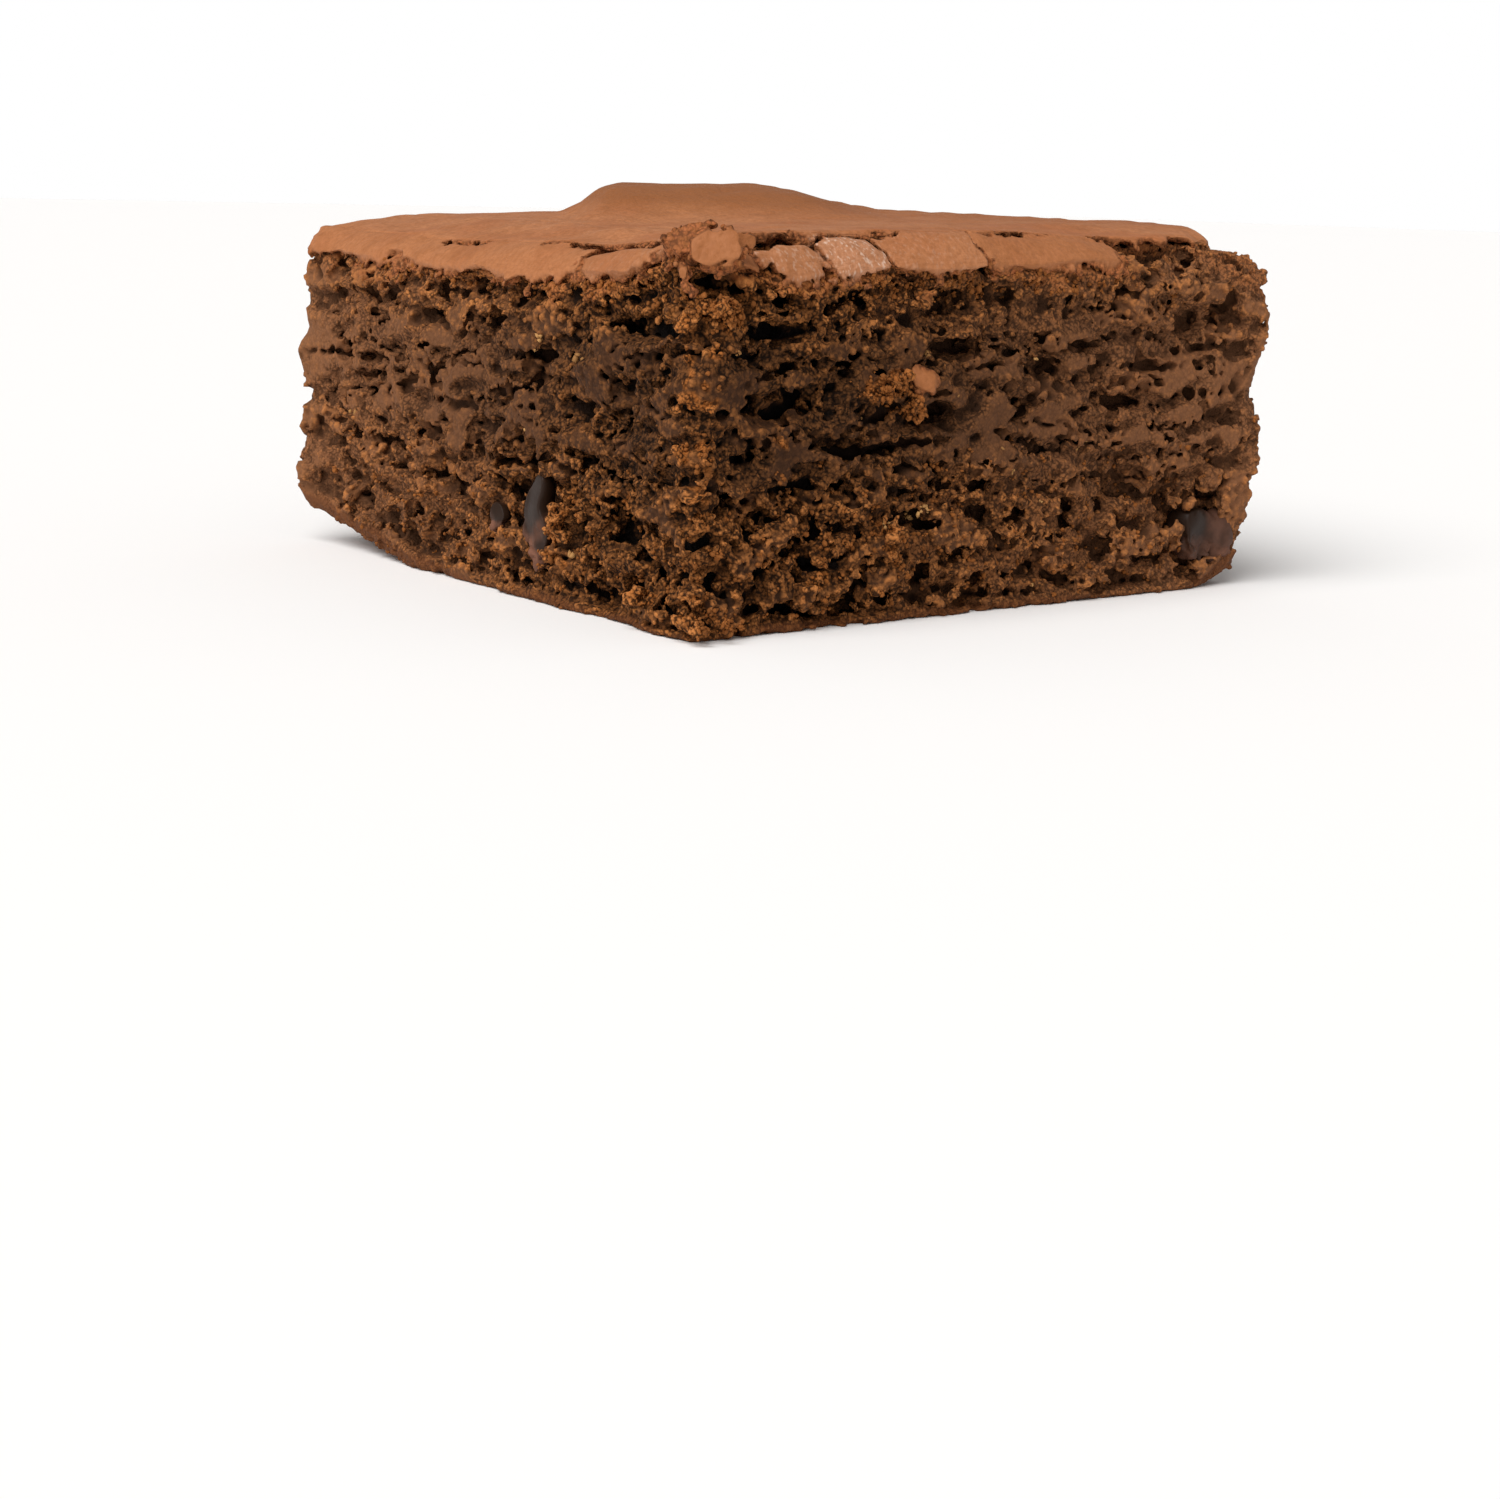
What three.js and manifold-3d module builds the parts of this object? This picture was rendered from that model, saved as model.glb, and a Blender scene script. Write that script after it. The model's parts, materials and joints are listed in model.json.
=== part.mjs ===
// Brownie: one square bar cut from a chocolate sheet cake, with a thin baked crust on top and
// chocolate chips that show where the bar was cut. Millimetres, +Z up, the origin under the middle
// of the base. The near corner is the one at -X, -Y: the crust has broken along both edges there.
import * as THREE from 'three';
import { mergeVertices } from 'three/addons/utils/BufferGeometryUtils.js';
import Module from 'manifold-3d';

const wasm = await Module();
wasm.setup();

// Driving dimensions
const WIDTH = 76; // along X, a three inch cut
const DEPTH = 77.4; // along Y
const HEIGHT = 38; // crust above the base at the near corner
const CORNER_RADIUS = 1.6; // upright cut edges
const STRIP_WIDTH = 3.5; // crust strip between the long crack and a cut face
const STRIP_DROP = 1.6; // how far that strip bends down at the face
const LIP_HEIGHT = 4; // from the crust's level down to the strip's lower edge
const BASE_SINK = 1.2; // rough underside below the flat base, cut away
const CHIP_GAP = 0.3; // air between a chip and the crumb round it
const SEED = 41;

const HALF_W = WIDTH / 2;
const HALF_D = DEPTH / 2;

// Crust level over HEIGHT at the four corners of the bar
const CRUST_CORNERS = { near: 0, left: -1.3, right: 1.2, back: 1.8 };

// Long blister that lifts the crust behind its middle
const BLISTER = {
  x: 3,
  y: 20,
  heading: THREE.MathUtils.degToRad(56),
  rise: 3.5,
  steepSide: [-14, -9.5],
  gentleSide: [7, 25],
  ends: [12, 30],
};

// Grid of the bar's skin: segments along X, Y and Z, and the first lines inside a cut face
const GRID = { x: 22, y: 22, z: 13 };
const EDGE_LINES = [0, 1, 2.3, 4];
const LIP_ROWS = 2; // rows of the side that belong to the crust's lip
const LIP_EDGE = 0.6; // thickness of the lip's broken lower edge

// How far the crumb stands out (+) or is torn away (-) at a height, along two upright edges
const RIGHT_EDGE = [
  [2, 0.3], [6, 0.1], [9, 0.7], [12, 0.8], [13.6, 2.1], [16.4, 1.2],
  [20, 1.8], [22.4, -0.2], [26, 1.3], [31, 1.6], [35, 0],
];
const LEFT_EDGE = [
  [4, 1.2], [8.6, 1.6], [11, 1.2], [16, 0], [21, 0.4], [23, 0.8], [24.8, -0.6], [28, 0], [36, 0.5],
];

// Deep tunnels in the crumb of the two front faces: place along the face, height, half length,
// half height
const FRONT_TUNNELS = [
  [-6.6, 31.5, 2.6, 1.1], [-5.1, 27.1, 2.9, 1.2], [7.7, 24.9, 2.6, 1], [14.6, 24.4, 2.1, 1],
  [33, 29.6, 1.5, 2.6], [28.5, 28.7, 2.4, 0.9], [-27.6, 21.4, 5, 1.5], [-8.1, 20.4, 2.5, 1.1],
  [-20.6, 17.8, 3.6, 0.9], [-27.4, 29, 4, 0.6], [-30.8, 12.2, 3.3, 2], [11.1, 2.6, 2.2, 0.9],
  [19.6, 12.5, 3.8, 1], [32.9, 10.4, 2, 0.8], [3.9, 19.7, 4, 0.6], [17.8, 21, 3.8, 0.7],
];
const LEFT_TUNNELS = [
  [-11.5, 23.4, 2.4, 1.1], [-1.3, 27.7, 2, 0.9], [1.9, 31.4, 2.9, 0.8], [-8, 31.7, 2.1, 0.8],
  [10.8, 28, 2, 0.8], [18.1, 34, 2.2, 0.6], [28.1, 21.7, 1.5, 0.9], [-29.8, 28.6, 5.2, 0.7],
  [-18.3, 20.2, 3, 1], [-9.1, 15.4, 3.4, 1.3], [-5.4, 11, 1.4, 1.1], [-26, 9, 2.6, 1.3],
];
const TUNNEL_DEPTH = 2.8;

// Smaller holes and crumbs spread by a seeded rule
const HIDDEN_TUNNELS = 10;
const SMALL_HOLES = { front: 8, left: 10, back: 14, right: 14 };
const CRUMBS_PER_FACE = 7;
const EDGE_CRUMBS = 10;

// Chips: the cut face, the place along it, the height, the chip's size, how far its axis lies
// inside the face, and the turn of the axis away from upright, along the face
const CHIPS = [
  { name: 'chip_left', face: 'left', along: -11, z: 8.3, radius: 2.4, length: 9.6, inside: 1.5, turn: -12 },
  { name: 'chip_left_small', face: 'left', along: -3.4, z: 8, radius: 1, length: 2.4, inside: 0.5, turn: 20 },
  { name: 'chip_right', face: 'front', along: 32.2, z: 5.7, radius: 2.8, length: 8, inside: 1.6, turn: 85 },
  { name: 'chip_side', face: 'right', along: 8, z: 10.5, radius: 2.6, length: 6.2, inside: 1.4, turn: 58 },
  { name: 'chip_back', face: 'back', along: 12, z: 9, radius: 2.8, length: 7.2, inside: 1.5, turn: 64 },
  { name: 'chip_back_small', face: 'back', along: -17, z: 15, radius: 1.7, length: 4, inside: 0.9, turn: 20 },
];

const { smoothstep, lerp, degToRad } = THREE.MathUtils;

// A fixed random number between 0 and 1 for three whole numbers
function lattice(ix, iy, iz) {
  let h = Math.imul(ix, 374761393) ^ Math.imul(iy, 668265263) ^ Math.imul(iz + SEED, 1442695041);
  h = Math.imul(h ^ (h >>> 13), 1274126177);
  return ((h ^ (h >>> 16)) >>> 0) / 4294967296;
}

// Smooth noise between -1 and 1 with features about one unit across
function noise(x, y, z) {
  const cell = [Math.floor(x), Math.floor(y), Math.floor(z)];
  const [fx, fy, fz] = [x - cell[0], y - cell[1], z - cell[2]].map((f) => f * f * (3 - 2 * f));
  const at = (i, j, k) => lattice(cell[0] + i, cell[1] + j, cell[2] + k);
  const edge = (j, k) => lerp(at(0, j, k), at(1, j, k), fx);
  const face = (k) => lerp(edge(0, k), edge(1, k), fy);
  return 2 * lerp(face(0), face(1), fz) - 1;
}

// A seeded stream of random numbers between two values
function randomStream(seed) {
  let draws = 0;
  return (low, high) => {
    draws += 1;
    return lerp(low, high, lattice(seed, draws, 7));
  };
}

// Value of a profile of [height, value] pairs at a height
function profileAt(profile, z) {
  const next = profile.findIndex(([height]) => height > z);
  if (next === 0) return profile[0][1];
  if (next < 0) return profile[profile.length - 1][1];
  const [z0, v0] = profile[next - 1];
  const [z1, v1] = profile[next];
  return lerp(v0, v1, (z - z0) / (z1 - z0));
}

// Top of the bar: a slightly tilted sheet with a blister, a curled back corner, a sunken left
// corner, and a right corner where the crust is missing and the crumb is a low round shoulder
function crustLevel(x, y) {
  const u = (x + HALF_W) / WIDTH;
  const v = (y + HALF_D) / DEPTH;
  const { near, left, right, back } = CRUST_CORNERS;
  let level = HEIGHT + lerp(lerp(near, left, v), lerp(right, back, v), u);

  const [c, s] = [Math.cos(BLISTER.heading), Math.sin(BLISTER.heading)];
  const along = (x - BLISTER.x) * c + (y - BLISTER.y) * s;
  const across = (x - BLISTER.x) * s - (y - BLISTER.y) * c;
  const lift = smoothstep(across, ...BLISTER.steepSide) * (1 - smoothstep(across, ...BLISTER.gentleSide));
  level += BLISTER.rise * lift * (1 - smoothstep(Math.abs(along), ...BLISTER.ends));

  level += 0.9 * Math.exp(-(((x - HALF_W) ** 2 + (y - HALF_D) ** 2) / 100));
  level -= 0.6 * Math.exp(-(((x + HALF_W) ** 2 + (y - HALF_D) ** 2) / 30));
  level += 0.18 * noise(x / 6, y / 6, 3);

  const shoulder = (HALF_W - x) / 10 + (y + HALF_D) / 9.5;
  const crumbLevel = 37.3 - 2.2 * Math.max(0, 1 - shoulder) ** 2;
  return lerp(crumbLevel, level, smoothstep(shoulder, 0.85, 1.1));
}

// Extra drop of the crust near a cut face, where the strip outside the long crack bends down
function stripDrop(x, y) {
  const toFront = y + HALF_D;
  const toLeft = x + HALF_W;
  const toHidden = Math.min(HALF_W - x, HALF_D - y);
  const bend = (distance, width) => Math.max(0, 1 - distance / width) ** 1.5;
  const front = STRIP_DROP * bend(toFront, STRIP_WIDTH);
  const left = STRIP_DROP * bend(toLeft, STRIP_WIDTH);
  const hidden = 0.9 * bend(toHidden, 2);
  return Math.max(front, left, hidden);
}

// Height of the lip's lower edge above the base
function lipLevel(x, y) {
  const shorter = 1.1 * smoothstep(x, -10, 20) + 0.6 * smoothstep(y, 0, 30);
  return crustLevel(x, y) - LIP_HEIGHT + Math.min(1.3, shorter) + 0.5 * noise(x / 5, y / 5, 11);
}

// The underside lifts off the flat at the left corner and rounds up at the right corner
function baseLift(x, y) {
  const fromLeft = Math.hypot(x + HALF_W, y - HALF_D);
  const fromRight = Math.hypot(x - HALF_W, y + HALF_D);
  return 5.4 * Math.exp(-((fromLeft / 17) ** 1.4)) + 3.6 * Math.exp(-((fromRight / 5) ** 1.7));
}

// Roughness of a cut face: long flat tears higher up, coarse open crumb in the lowest third
function tearing(x, y, z) {
  const open = 1 - smoothstep(z, 9, 16);
  const tears = noise(x / 7, y / 7, z / 1.9);
  const lumps = noise(x / 4.2 + 9, y / 4.2, z / 3.4);
  const grains = noise(x / 2.2, y / 2.2 + 5, z / 2.2);
  return 0.65 * tears * (1 - 0.5 * open) + 0.45 * lumps + 0.55 * open * grains;
}

// Distance of a grid line from the middle: close together near a cut face, then even
function gridLine(t, half, count) {
  const index = Math.round(((t + 1) / 2) * count);
  const steps = Math.min(index, count - index);
  const last = EDGE_LINES.length - 1;
  const inner = half - EDGE_LINES[last];
  const evenStep = inner / (count / 2 - last);
  const fromFace = steps <= last ? EDGE_LINES[steps] : EDGE_LINES[last] + evenStep * (steps - last);
  return (index <= count / 2 ? -1 : 1) * (half - fromFace);
}

// Rounds the upright edges: moves a plan position from the square corner to the arc
function roundCorner(x, y) {
  const cornerX = Math.sign(x) * (HALF_W - CORNER_RADIUS);
  const cornerY = Math.sign(y) * (HALF_D - CORNER_RADIUS);
  const dx = x - cornerX;
  const dy = y - cornerY;
  if (dx * Math.sign(x) <= 0 || dy * Math.sign(y) <= 0) return [x, y];
  const shrink = Math.max(Math.abs(dx), Math.abs(dy)) / Math.hypot(dx, dy);
  return [cornerX + dx * shrink, cornerY + dy * shrink];
}

// Outward direction in plan at a place on the side
function outward(x, y) {
  const dx = Math.max(0, Math.abs(x) - (HALF_W - CORNER_RADIUS)) * Math.sign(x);
  const dy = Math.max(0, Math.abs(y) - (HALF_D - CORNER_RADIUS)) * Math.sign(y);
  const length = Math.hypot(dx, dy) || 1;
  return [dx / length, dy / length];
}

// How far the side stands out of its flat at a place
function sideRelief(x, y, z, row) {
  const rightEdge = Math.exp(-(((x - HALF_W) ** 2 + (y + HALF_D) ** 2) / 9));
  const leftEdge = Math.exp(-(((x + HALF_W) ** 2 + (y - HALF_D) ** 2) / 9));
  let relief = tearing(x, y, z) * (1 - rightEdge) * (1 - leftEdge);
  relief += rightEdge * profileAt(RIGHT_EDGE, z) + leftEdge * profileAt(LEFT_EDGE, z);
  const crusted = smoothstep((HALF_W - x) / 10 + (y + HALF_D) / 9.5, 0.9, 1.1);
  if (row === GRID.z - LIP_ROWS) relief -= 0.5 * crusted;
  if (row === GRID.z - LIP_ROWS + 1) relief += 0.35 * crusted;
  if (row === GRID.z) relief = 0.2 * relief - 0.3;
  if (row === 0) relief -= 1;
  return relief;
}

// Place on the bar's skin of a point (u, v, w) of the cube from -1 to 1
function skinPoint(u, v, w) {
  const [x, y] = roundCorner(gridLine(u, HALF_W, GRID.x), gridLine(v, HALF_D, GRID.y));
  const row = Math.round(((w + 1) / 2) * GRID.z);
  const base = baseLift(x, y) - BASE_SINK;
  const lip = lipLevel(x, y);
  const top = crustLevel(x, y) - stripDrop(x, y);
  const crumbRows = GRID.z - LIP_ROWS;
  let z = lerp(base, lip, Math.min(1, row / crumbRows));
  if (row === crumbRows + 1) z = lip + LIP_EDGE;
  if (row === GRID.z) z = top;
  const onSide = Math.abs(u) === 1 || Math.abs(v) === 1;
  if (!onSide) return [x, y, z];
  const [nx, ny] = outward(x, y);
  const relief = sideRelief(x, y, z, row);
  return [x + nx * relief, y + ny * relief, z];
}

// Closed solid of a geometry: only positions, shared vertices merged, no collapsed triangles
function toSolid(geometry) {
  const bare = geometry.clone();
  bare.deleteAttribute('normal');
  bare.deleteAttribute('uv');
  const merged = mergeVertices(bare, 1e-4);
  const corners = merged.index.array;
  const triangles = [];
  for (let i = 0; i < corners.length; i += 3) {
    const [a, b, c] = corners.slice(i, i + 3);
    if (a !== b && b !== c && c !== a) triangles.push(a, b, c);
  }
  const vertProperties = new Float32Array(merged.attributes.position.array);
  return new wasm.Manifold(new wasm.Mesh({ numProp: 3, vertProperties, triVerts: new Uint32Array(triangles) }));
}

// Geometry of a solid, with flat faces
function toGeometry(solid) {
  const { vertProperties, triVerts } = solid.getMesh();
  const geometry = new THREE.BufferGeometry();
  geometry.setAttribute('position', new THREE.BufferAttribute(vertProperties, 3));
  geometry.setIndex(new THREE.BufferAttribute(triVerts, 1));
  return geometry;
}

// The uncut bar: a fine box drawn over the shape, trimmed flat underneath
function barSolid() {
  const geometry = new THREE.BoxGeometry(2, 2, 2, GRID.x, GRID.y, GRID.z);
  const points = geometry.attributes.position;
  for (let i = 0; i < points.count; i += 1) {
    points.setXYZ(i, ...skinPoint(points.getX(i), points.getY(i), points.getZ(i)));
  }
  const below = new THREE.BoxGeometry(2 * WIDTH, 2 * DEPTH, HEIGHT).translate(0, 0, -HEIGHT / 2);
  return toSolid(geometry).subtract(toSolid(below));
}

// Ball of flat faces: a crumb has 8, a hole 32 and a large lump 80
const BALLS = {
  crumb: () => new THREE.OctahedronGeometry(1, 0),
  hole: () => new THREE.OctahedronGeometry(1, 1),
  large: () => new THREE.IcosahedronGeometry(1, 1),
};

// An uneven lump: a ball with its corners moved in and out, then stretched and turned
function lump(ball, at, size, turn, uneven) {
  const geometry = BALLS[ball]();
  const points = geometry.attributes.position;
  const corner = new THREE.Vector3();
  for (let i = 0; i < points.count; i += 1) {
    corner.fromBufferAttribute(points, i);
    const [kx, ky, kz] = corner.toArray().map((k) => Math.round(k * 100));
    corner.multiplyScalar(1 + uneven * (lattice(kx + Math.round(at[0] * 10), ky, kz) - 0.5));
    points.setXYZ(i, corner.x, corner.y, corner.z);
  }
  geometry.scale(...size);
  geometry.rotateX(turn[0]);
  geometry.rotateY(turn[1]);
  geometry.rotateZ(turn[2]);
  geometry.translate(...at);
  return toSolid(geometry);
}

// The four cut faces: a place at a distance along the face, in by some depth, at a height
const FACES = {
  front: (along, inside, z) => [along, inside - HALF_D, z],
  left: (along, inside, z) => [inside - HALF_W, along, z],
  back: (along, inside, z) => [along, HALF_D - inside, z],
  right: (along, inside, z) => [HALF_W - inside, along, z],
};

// Size of a hole that is long along its face
function alongFace(face, length, depth, height) {
  return face === 'front' || face === 'back' ? [length, depth, height] : [depth, length, height];
}

function tunnels(face, list) {
  return list.map(([along, z, length, height]) => {
    const size = alongFace(face, length, TUNNEL_DEPTH, height);
    return lump('hole', FACES[face](along, 0.3, z), size, [0, 0, 0], 0.5);
  });
}

// The two hidden faces have as many tunnels, placed by a seeded rule
function hiddenTunnels(face, seed) {
  const draw = randomStream(seed);
  const list = Array.from({ length: HIDDEN_TUNNELS }, () => {
    const height = draw(0.6, 1.3);
    return [draw(-33, 33), draw(8, 32), height * draw(1.4, 3), height];
  });
  return tunnels(face, list);
}

// Small holes: flat and long in the upper part, small and round in the open crumb low down
function smallHoles(face, seed, count) {
  const draw = randomStream(seed);
  return Array.from({ length: count }, () => {
    const z = draw(2.5, 32);
    const open = 1 - smoothstep(z, 9, 17);
    const height = draw(0.45, 0.8);
    const length = height * lerp(draw(1.8, 3.6), draw(0.9, 1.4), open);
    const half = face === 'front' || face === 'back' ? HALF_W : HALF_D;
    const at = FACES[face](draw(-half + 3, half - 3), 0.1, z);
    const turn = draw(-0.3, 0.3);
    return lump('crumb', at, alongFace(face, length, 1.6, height), [turn, turn, 0], 0.5);
  });
}

// Loose crumbs stuck to a cut face, most of them low down or under the crust
function faceCrumbs(face, seed) {
  const draw = randomStream(seed);
  return Array.from({ length: CRUMBS_PER_FACE }, (_, i) => {
    const z = i % 3 === 0 ? draw(29, 33) : draw(2, 14);
    const half = face === 'front' || face === 'back' ? HALF_W : HALF_D;
    const along = draw(-half + 3, half - 3);
    const [x, y] = FACES[face](along, 0, z);
    const at = FACES[face](along, -tearing(x, y, z), z);
    const radius = draw(0.55, 0.95);
    return lump('crumb', at, [radius, radius, radius * 0.9], [draw(0, 3), draw(0, 3), 0], 0.4);
  });
}

// Crumbs down the upright edge at the near corner
function edgeCrumbs() {
  const draw = randomStream(91);
  return Array.from({ length: EDGE_CRUMBS }, () => {
    const z = draw(1.5, 32);
    const inside = CORNER_RADIUS * 0.3 - 0.7 * tearing(-HALF_W, -HALF_D, z);
    const radius = draw(0.6, 1.05);
    const at = [inside - HALF_W + draw(-0.4, 0.9), inside - HALF_D + draw(-0.4, 0.9), z];
    return lump('crumb', at, [radius, radius, radius], [draw(0, 3), draw(0, 3), 0], 0.4);
  });
}

// A crack through the crust: a ragged slot along one cut face, opening and closing as it goes
function crack(face, from, to, widths, depth, seed) {
  const stations = 13;
  const near = [];
  const far = [];
  for (let i = 0; i <= stations; i += 1) {
    const t = i / stations;
    const along = lerp(from, to, t);
    const wander = 0.35 * noise(along / 3, seed, 2);
    const taper = Math.min(1, 6 * t, 6 * (1 - t));
    const open = taper * profileAt(widths, along) * (0.8 + 0.5 * lattice(i, seed, 5));
    const [x, y] = FACES[face](along, STRIP_WIDTH + wander, 0);
    const [dx, dy] = face === 'front' ? [0, open / 2 + 0.03] : [open / 2 + 0.03, 0];
    near.push(new THREE.Vector2(x - dx, y - dy));
    far.push(new THREE.Vector2(x + dx, y + dy));
  }
  const slot = new THREE.Shape([...near, ...far.reverse()]);
  const above = 6;
  const geometry = new THREE.ExtrudeGeometry(slot, { depth: depth + above, bevelEnabled: false });
  geometry.translate(0, 0, HEIGHT - depth);
  return toSolid(geometry);
}

// Cracks between the crust sheet and its strips, and short splits across the strips
function crustCracks() {
  const frontWidths = [[-31, 1.1], [-17, 1.2], [-13, 0.5], [24, 0.4], [30, 1.8], [34, 1.8]];
  const leftWidths = [[-30, 0.9], [-22, 0.9], [-9, 0.4]];
  const splits = [-33.7, -22.6, -14.6, 4.5, 20.3].map((x, i) => {
    const slit = new THREE.BoxGeometry(0.35, 5, 7);
    slit.rotateZ(0.25 * (i % 2 === 0 ? 1 : -1));
    slit.translate(x, 1.6 - HALF_D, HEIGHT + 1.6);
    return toSolid(slit);
  });
  return [
    crack('front', -31, 34.5, frontWidths, 1.9, 3),
    crack('left', -31, -9, leftWidths, 1.9, 4),
    ...splits,
  ];
}

// Hollow under the broken crust at the near corner
function cornerHollow() {
  const size = [2.6, 2.2, 1.3];
  return lump('large', [-35.4, -37.6, 33.1], size, [0, 0, degToRad(-10)], 0.4);
}

// Broken lumps of crust at the near corner and a flake stuck low on the front face
function crustPieces() {
  return [
    lump('large', [-35.2, -36.9, 36.4], [2.7, 2.3, 1.5], [degToRad(24), 0, degToRad(-35)], 0.25),
    lump('large', [-36.8, -33.6, 37], [1.9, 2.6, 1.5], [0, degToRad(14), degToRad(10)], 0.4),
    lump('crumb', [-37.4, -37.6, 33.4], [0.5, 0.6, 1.8], [0, 0, 0], 0.2),
    lump('large', [-13.4, 0.1 - HALF_D, 22.7], [4.2, 1.1, 1.7], [0, degToRad(-8), 0], 0.4),
  ];
}

// Profile of a chocolate chip round its axis: a rounded foot and a blunt tip
function chipProfile(radius, length) {
  const rows = 7;
  return Array.from({ length: rows + 1 }, (_, i) => {
    const t = i / rows;
    const bulge = Math.sin(Math.PI * t) ** 0.55 * (1.12 - 0.4 * t);
    return new THREE.Vector2(i === 0 || i === rows ? 0 : radius * bulge, length * (t - 0.5));
  });
}

// A chip, or with some extra size the hollow round it, moved outward by some distance
function chipGeometry({ face, along, z, radius, length, inside, turn }, extra = 0, moved = 0) {
  const profile = chipProfile(radius + extra, length + 2.4 * extra);
  const geometry = new THREE.LatheGeometry(profile, 11);
  geometry.rotateX(Math.PI / 2);
  if (face === 'front' || face === 'back') geometry.rotateY(degToRad(turn));
  else geometry.rotateX(degToRad(turn));
  const [x, y] = FACES[face](along, 0, z);
  return geometry.translate(...FACES[face](along, inside - moved - tearing(x, y, z), z));
}

// The pocket of a chip, open to the cut face over the chip's whole width
function chipPocket(chip) {
  const round = toSolid(chipGeometry(chip, CHIP_GAP));
  return round.add(toSolid(chipGeometry(chip, CHIP_GAP, chip.inside)));
}

// The largest body of a solid, without scraps that a cut left loose
function mainBody(solid) {
  return solid.decompose().reduce((a, b) => (a.volume() > b.volume() ? a : b));
}

function brownieSolid() {
  const holes = [
    ...tunnels('front', FRONT_TUNNELS),
    ...tunnels('left', LEFT_TUNNELS),
    ...Object.keys(FACES).flatMap((face, i) => smallHoles(face, 20 + i, SMALL_HOLES[face])),
    ...hiddenTunnels('back', 31),
    ...hiddenTunnels('right', 32),
    ...crustCracks(),
    cornerHollow(),
  ];
  const crumbs = [
    ...Object.keys(FACES).flatMap((face, i) => faceCrumbs(face, 50 + i)),
    ...edgeCrumbs(),
    ...crustPieces(),
  ];
  const pockets = CHIPS.map(chipPocket);
  const torn = barSolid().subtract(wasm.Manifold.union(holes));
  const crumbed = wasm.Manifold.union([torn, ...crumbs]);
  return mainBody(crumbed.subtract(wasm.Manifold.union(pockets)));
}

const crumbMaterial = new THREE.MeshStandardMaterial({ color: '#4a2d1c', roughness: 0.95, metalness: 0 });
const chipMaterial = new THREE.MeshStandardMaterial({ color: '#352620', roughness: 0.35, metalness: 0 });

function namedMesh(name, geometry, material) {
  const mesh = new THREE.Mesh(geometry, material);
  mesh.name = name;
  return mesh;
}

const brownie = new THREE.Group();
brownie.add(namedMesh('brownie', toGeometry(brownieSolid()), crumbMaterial));
for (const chip of CHIPS) {
  brownie.add(namedMesh(chip.name, toGeometry(toSolid(chipGeometry(chip))), chipMaterial));
}

// The origin goes under the middle of the whole bar
const extent = new THREE.Box3().setFromObject(brownie);
const middle = extent.getCenter(new THREE.Vector3());
brownie.position.set(-middle.x, -middle.y, -extent.min.z);

export default brownie;
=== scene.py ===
"""Brownie bar: the looks of one square bar of chocolate cake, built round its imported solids.

The crumb of the four cut sides is carved out of the bar's own solid as a field of small cells, with
bubbles, flat tears and grains, and then turned into meshes. The thin crust is a shell over it, with
cracks and bent strips. Chips, broken bits of crust and loose crumbs are pieces of their own.
"""

import json
import math

import bmesh
import bpy
import numpy as np
import openvdb
from bpy.props import FloatProperty, FloatVectorProperty, IntProperty, PointerProperty
from mathutils import Matrix, Vector
from mathutils.bvhtree import BVHTree

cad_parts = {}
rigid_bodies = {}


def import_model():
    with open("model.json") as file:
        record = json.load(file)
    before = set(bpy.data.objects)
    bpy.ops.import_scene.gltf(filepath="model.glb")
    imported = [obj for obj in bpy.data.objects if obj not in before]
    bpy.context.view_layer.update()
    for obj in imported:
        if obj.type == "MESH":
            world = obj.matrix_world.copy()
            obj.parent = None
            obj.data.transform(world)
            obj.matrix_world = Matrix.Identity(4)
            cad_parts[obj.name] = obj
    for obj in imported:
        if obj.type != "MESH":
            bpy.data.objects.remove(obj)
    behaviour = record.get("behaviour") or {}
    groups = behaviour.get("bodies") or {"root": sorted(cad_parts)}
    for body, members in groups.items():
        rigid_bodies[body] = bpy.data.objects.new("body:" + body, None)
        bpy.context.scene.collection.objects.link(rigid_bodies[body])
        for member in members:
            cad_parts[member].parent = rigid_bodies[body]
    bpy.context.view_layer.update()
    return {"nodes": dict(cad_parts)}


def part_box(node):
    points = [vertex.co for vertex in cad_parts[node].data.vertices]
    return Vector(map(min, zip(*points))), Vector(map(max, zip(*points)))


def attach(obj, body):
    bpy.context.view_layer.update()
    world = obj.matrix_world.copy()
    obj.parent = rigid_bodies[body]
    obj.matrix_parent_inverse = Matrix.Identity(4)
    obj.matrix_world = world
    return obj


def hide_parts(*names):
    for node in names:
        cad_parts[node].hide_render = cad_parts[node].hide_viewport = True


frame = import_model()

bl_info = {
    "name": "Brownie bar",
    "version": (1, 0, 0),
    "blender": (4, 5, 0),
    "location": "View3D > Sidebar > Brownie",
    "description": "Builds a square brownie with a torn crumb, a cracked crust and chocolate chips",
    "category": "Add Mesh",
}

MM = 0.001
BODY = "root"
BAR = "brownie"

# The bar in millimetres, as its solid has it: half sides, and where its own middle is in the frame
HALF_W = 38.0
HALF_D = 38.7
MIDDLE = np.array([0.056, -0.083, 0.0])
BAR_LOW, BAR_HIGH = (np.array(corner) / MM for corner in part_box(BAR))

# First seeds of what is drawn at random for each side or piece
HOLE_SEED = 340
GRAIN_SEED = 360
CHIP_SEED = 380
BIT_SEED = 400
LOOSE_SEED = 420

# Crust over the bar, in millimetres: width of its strips, height of its top at the near corner, where
# the front strip ends, and how far the crust reaches down the back and right sides
STRIP_WIDTH = 3.5
CRUST_TOP = 38.0
STRIP_END = 17.4
PLAIN_LIP = 2.4

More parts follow.
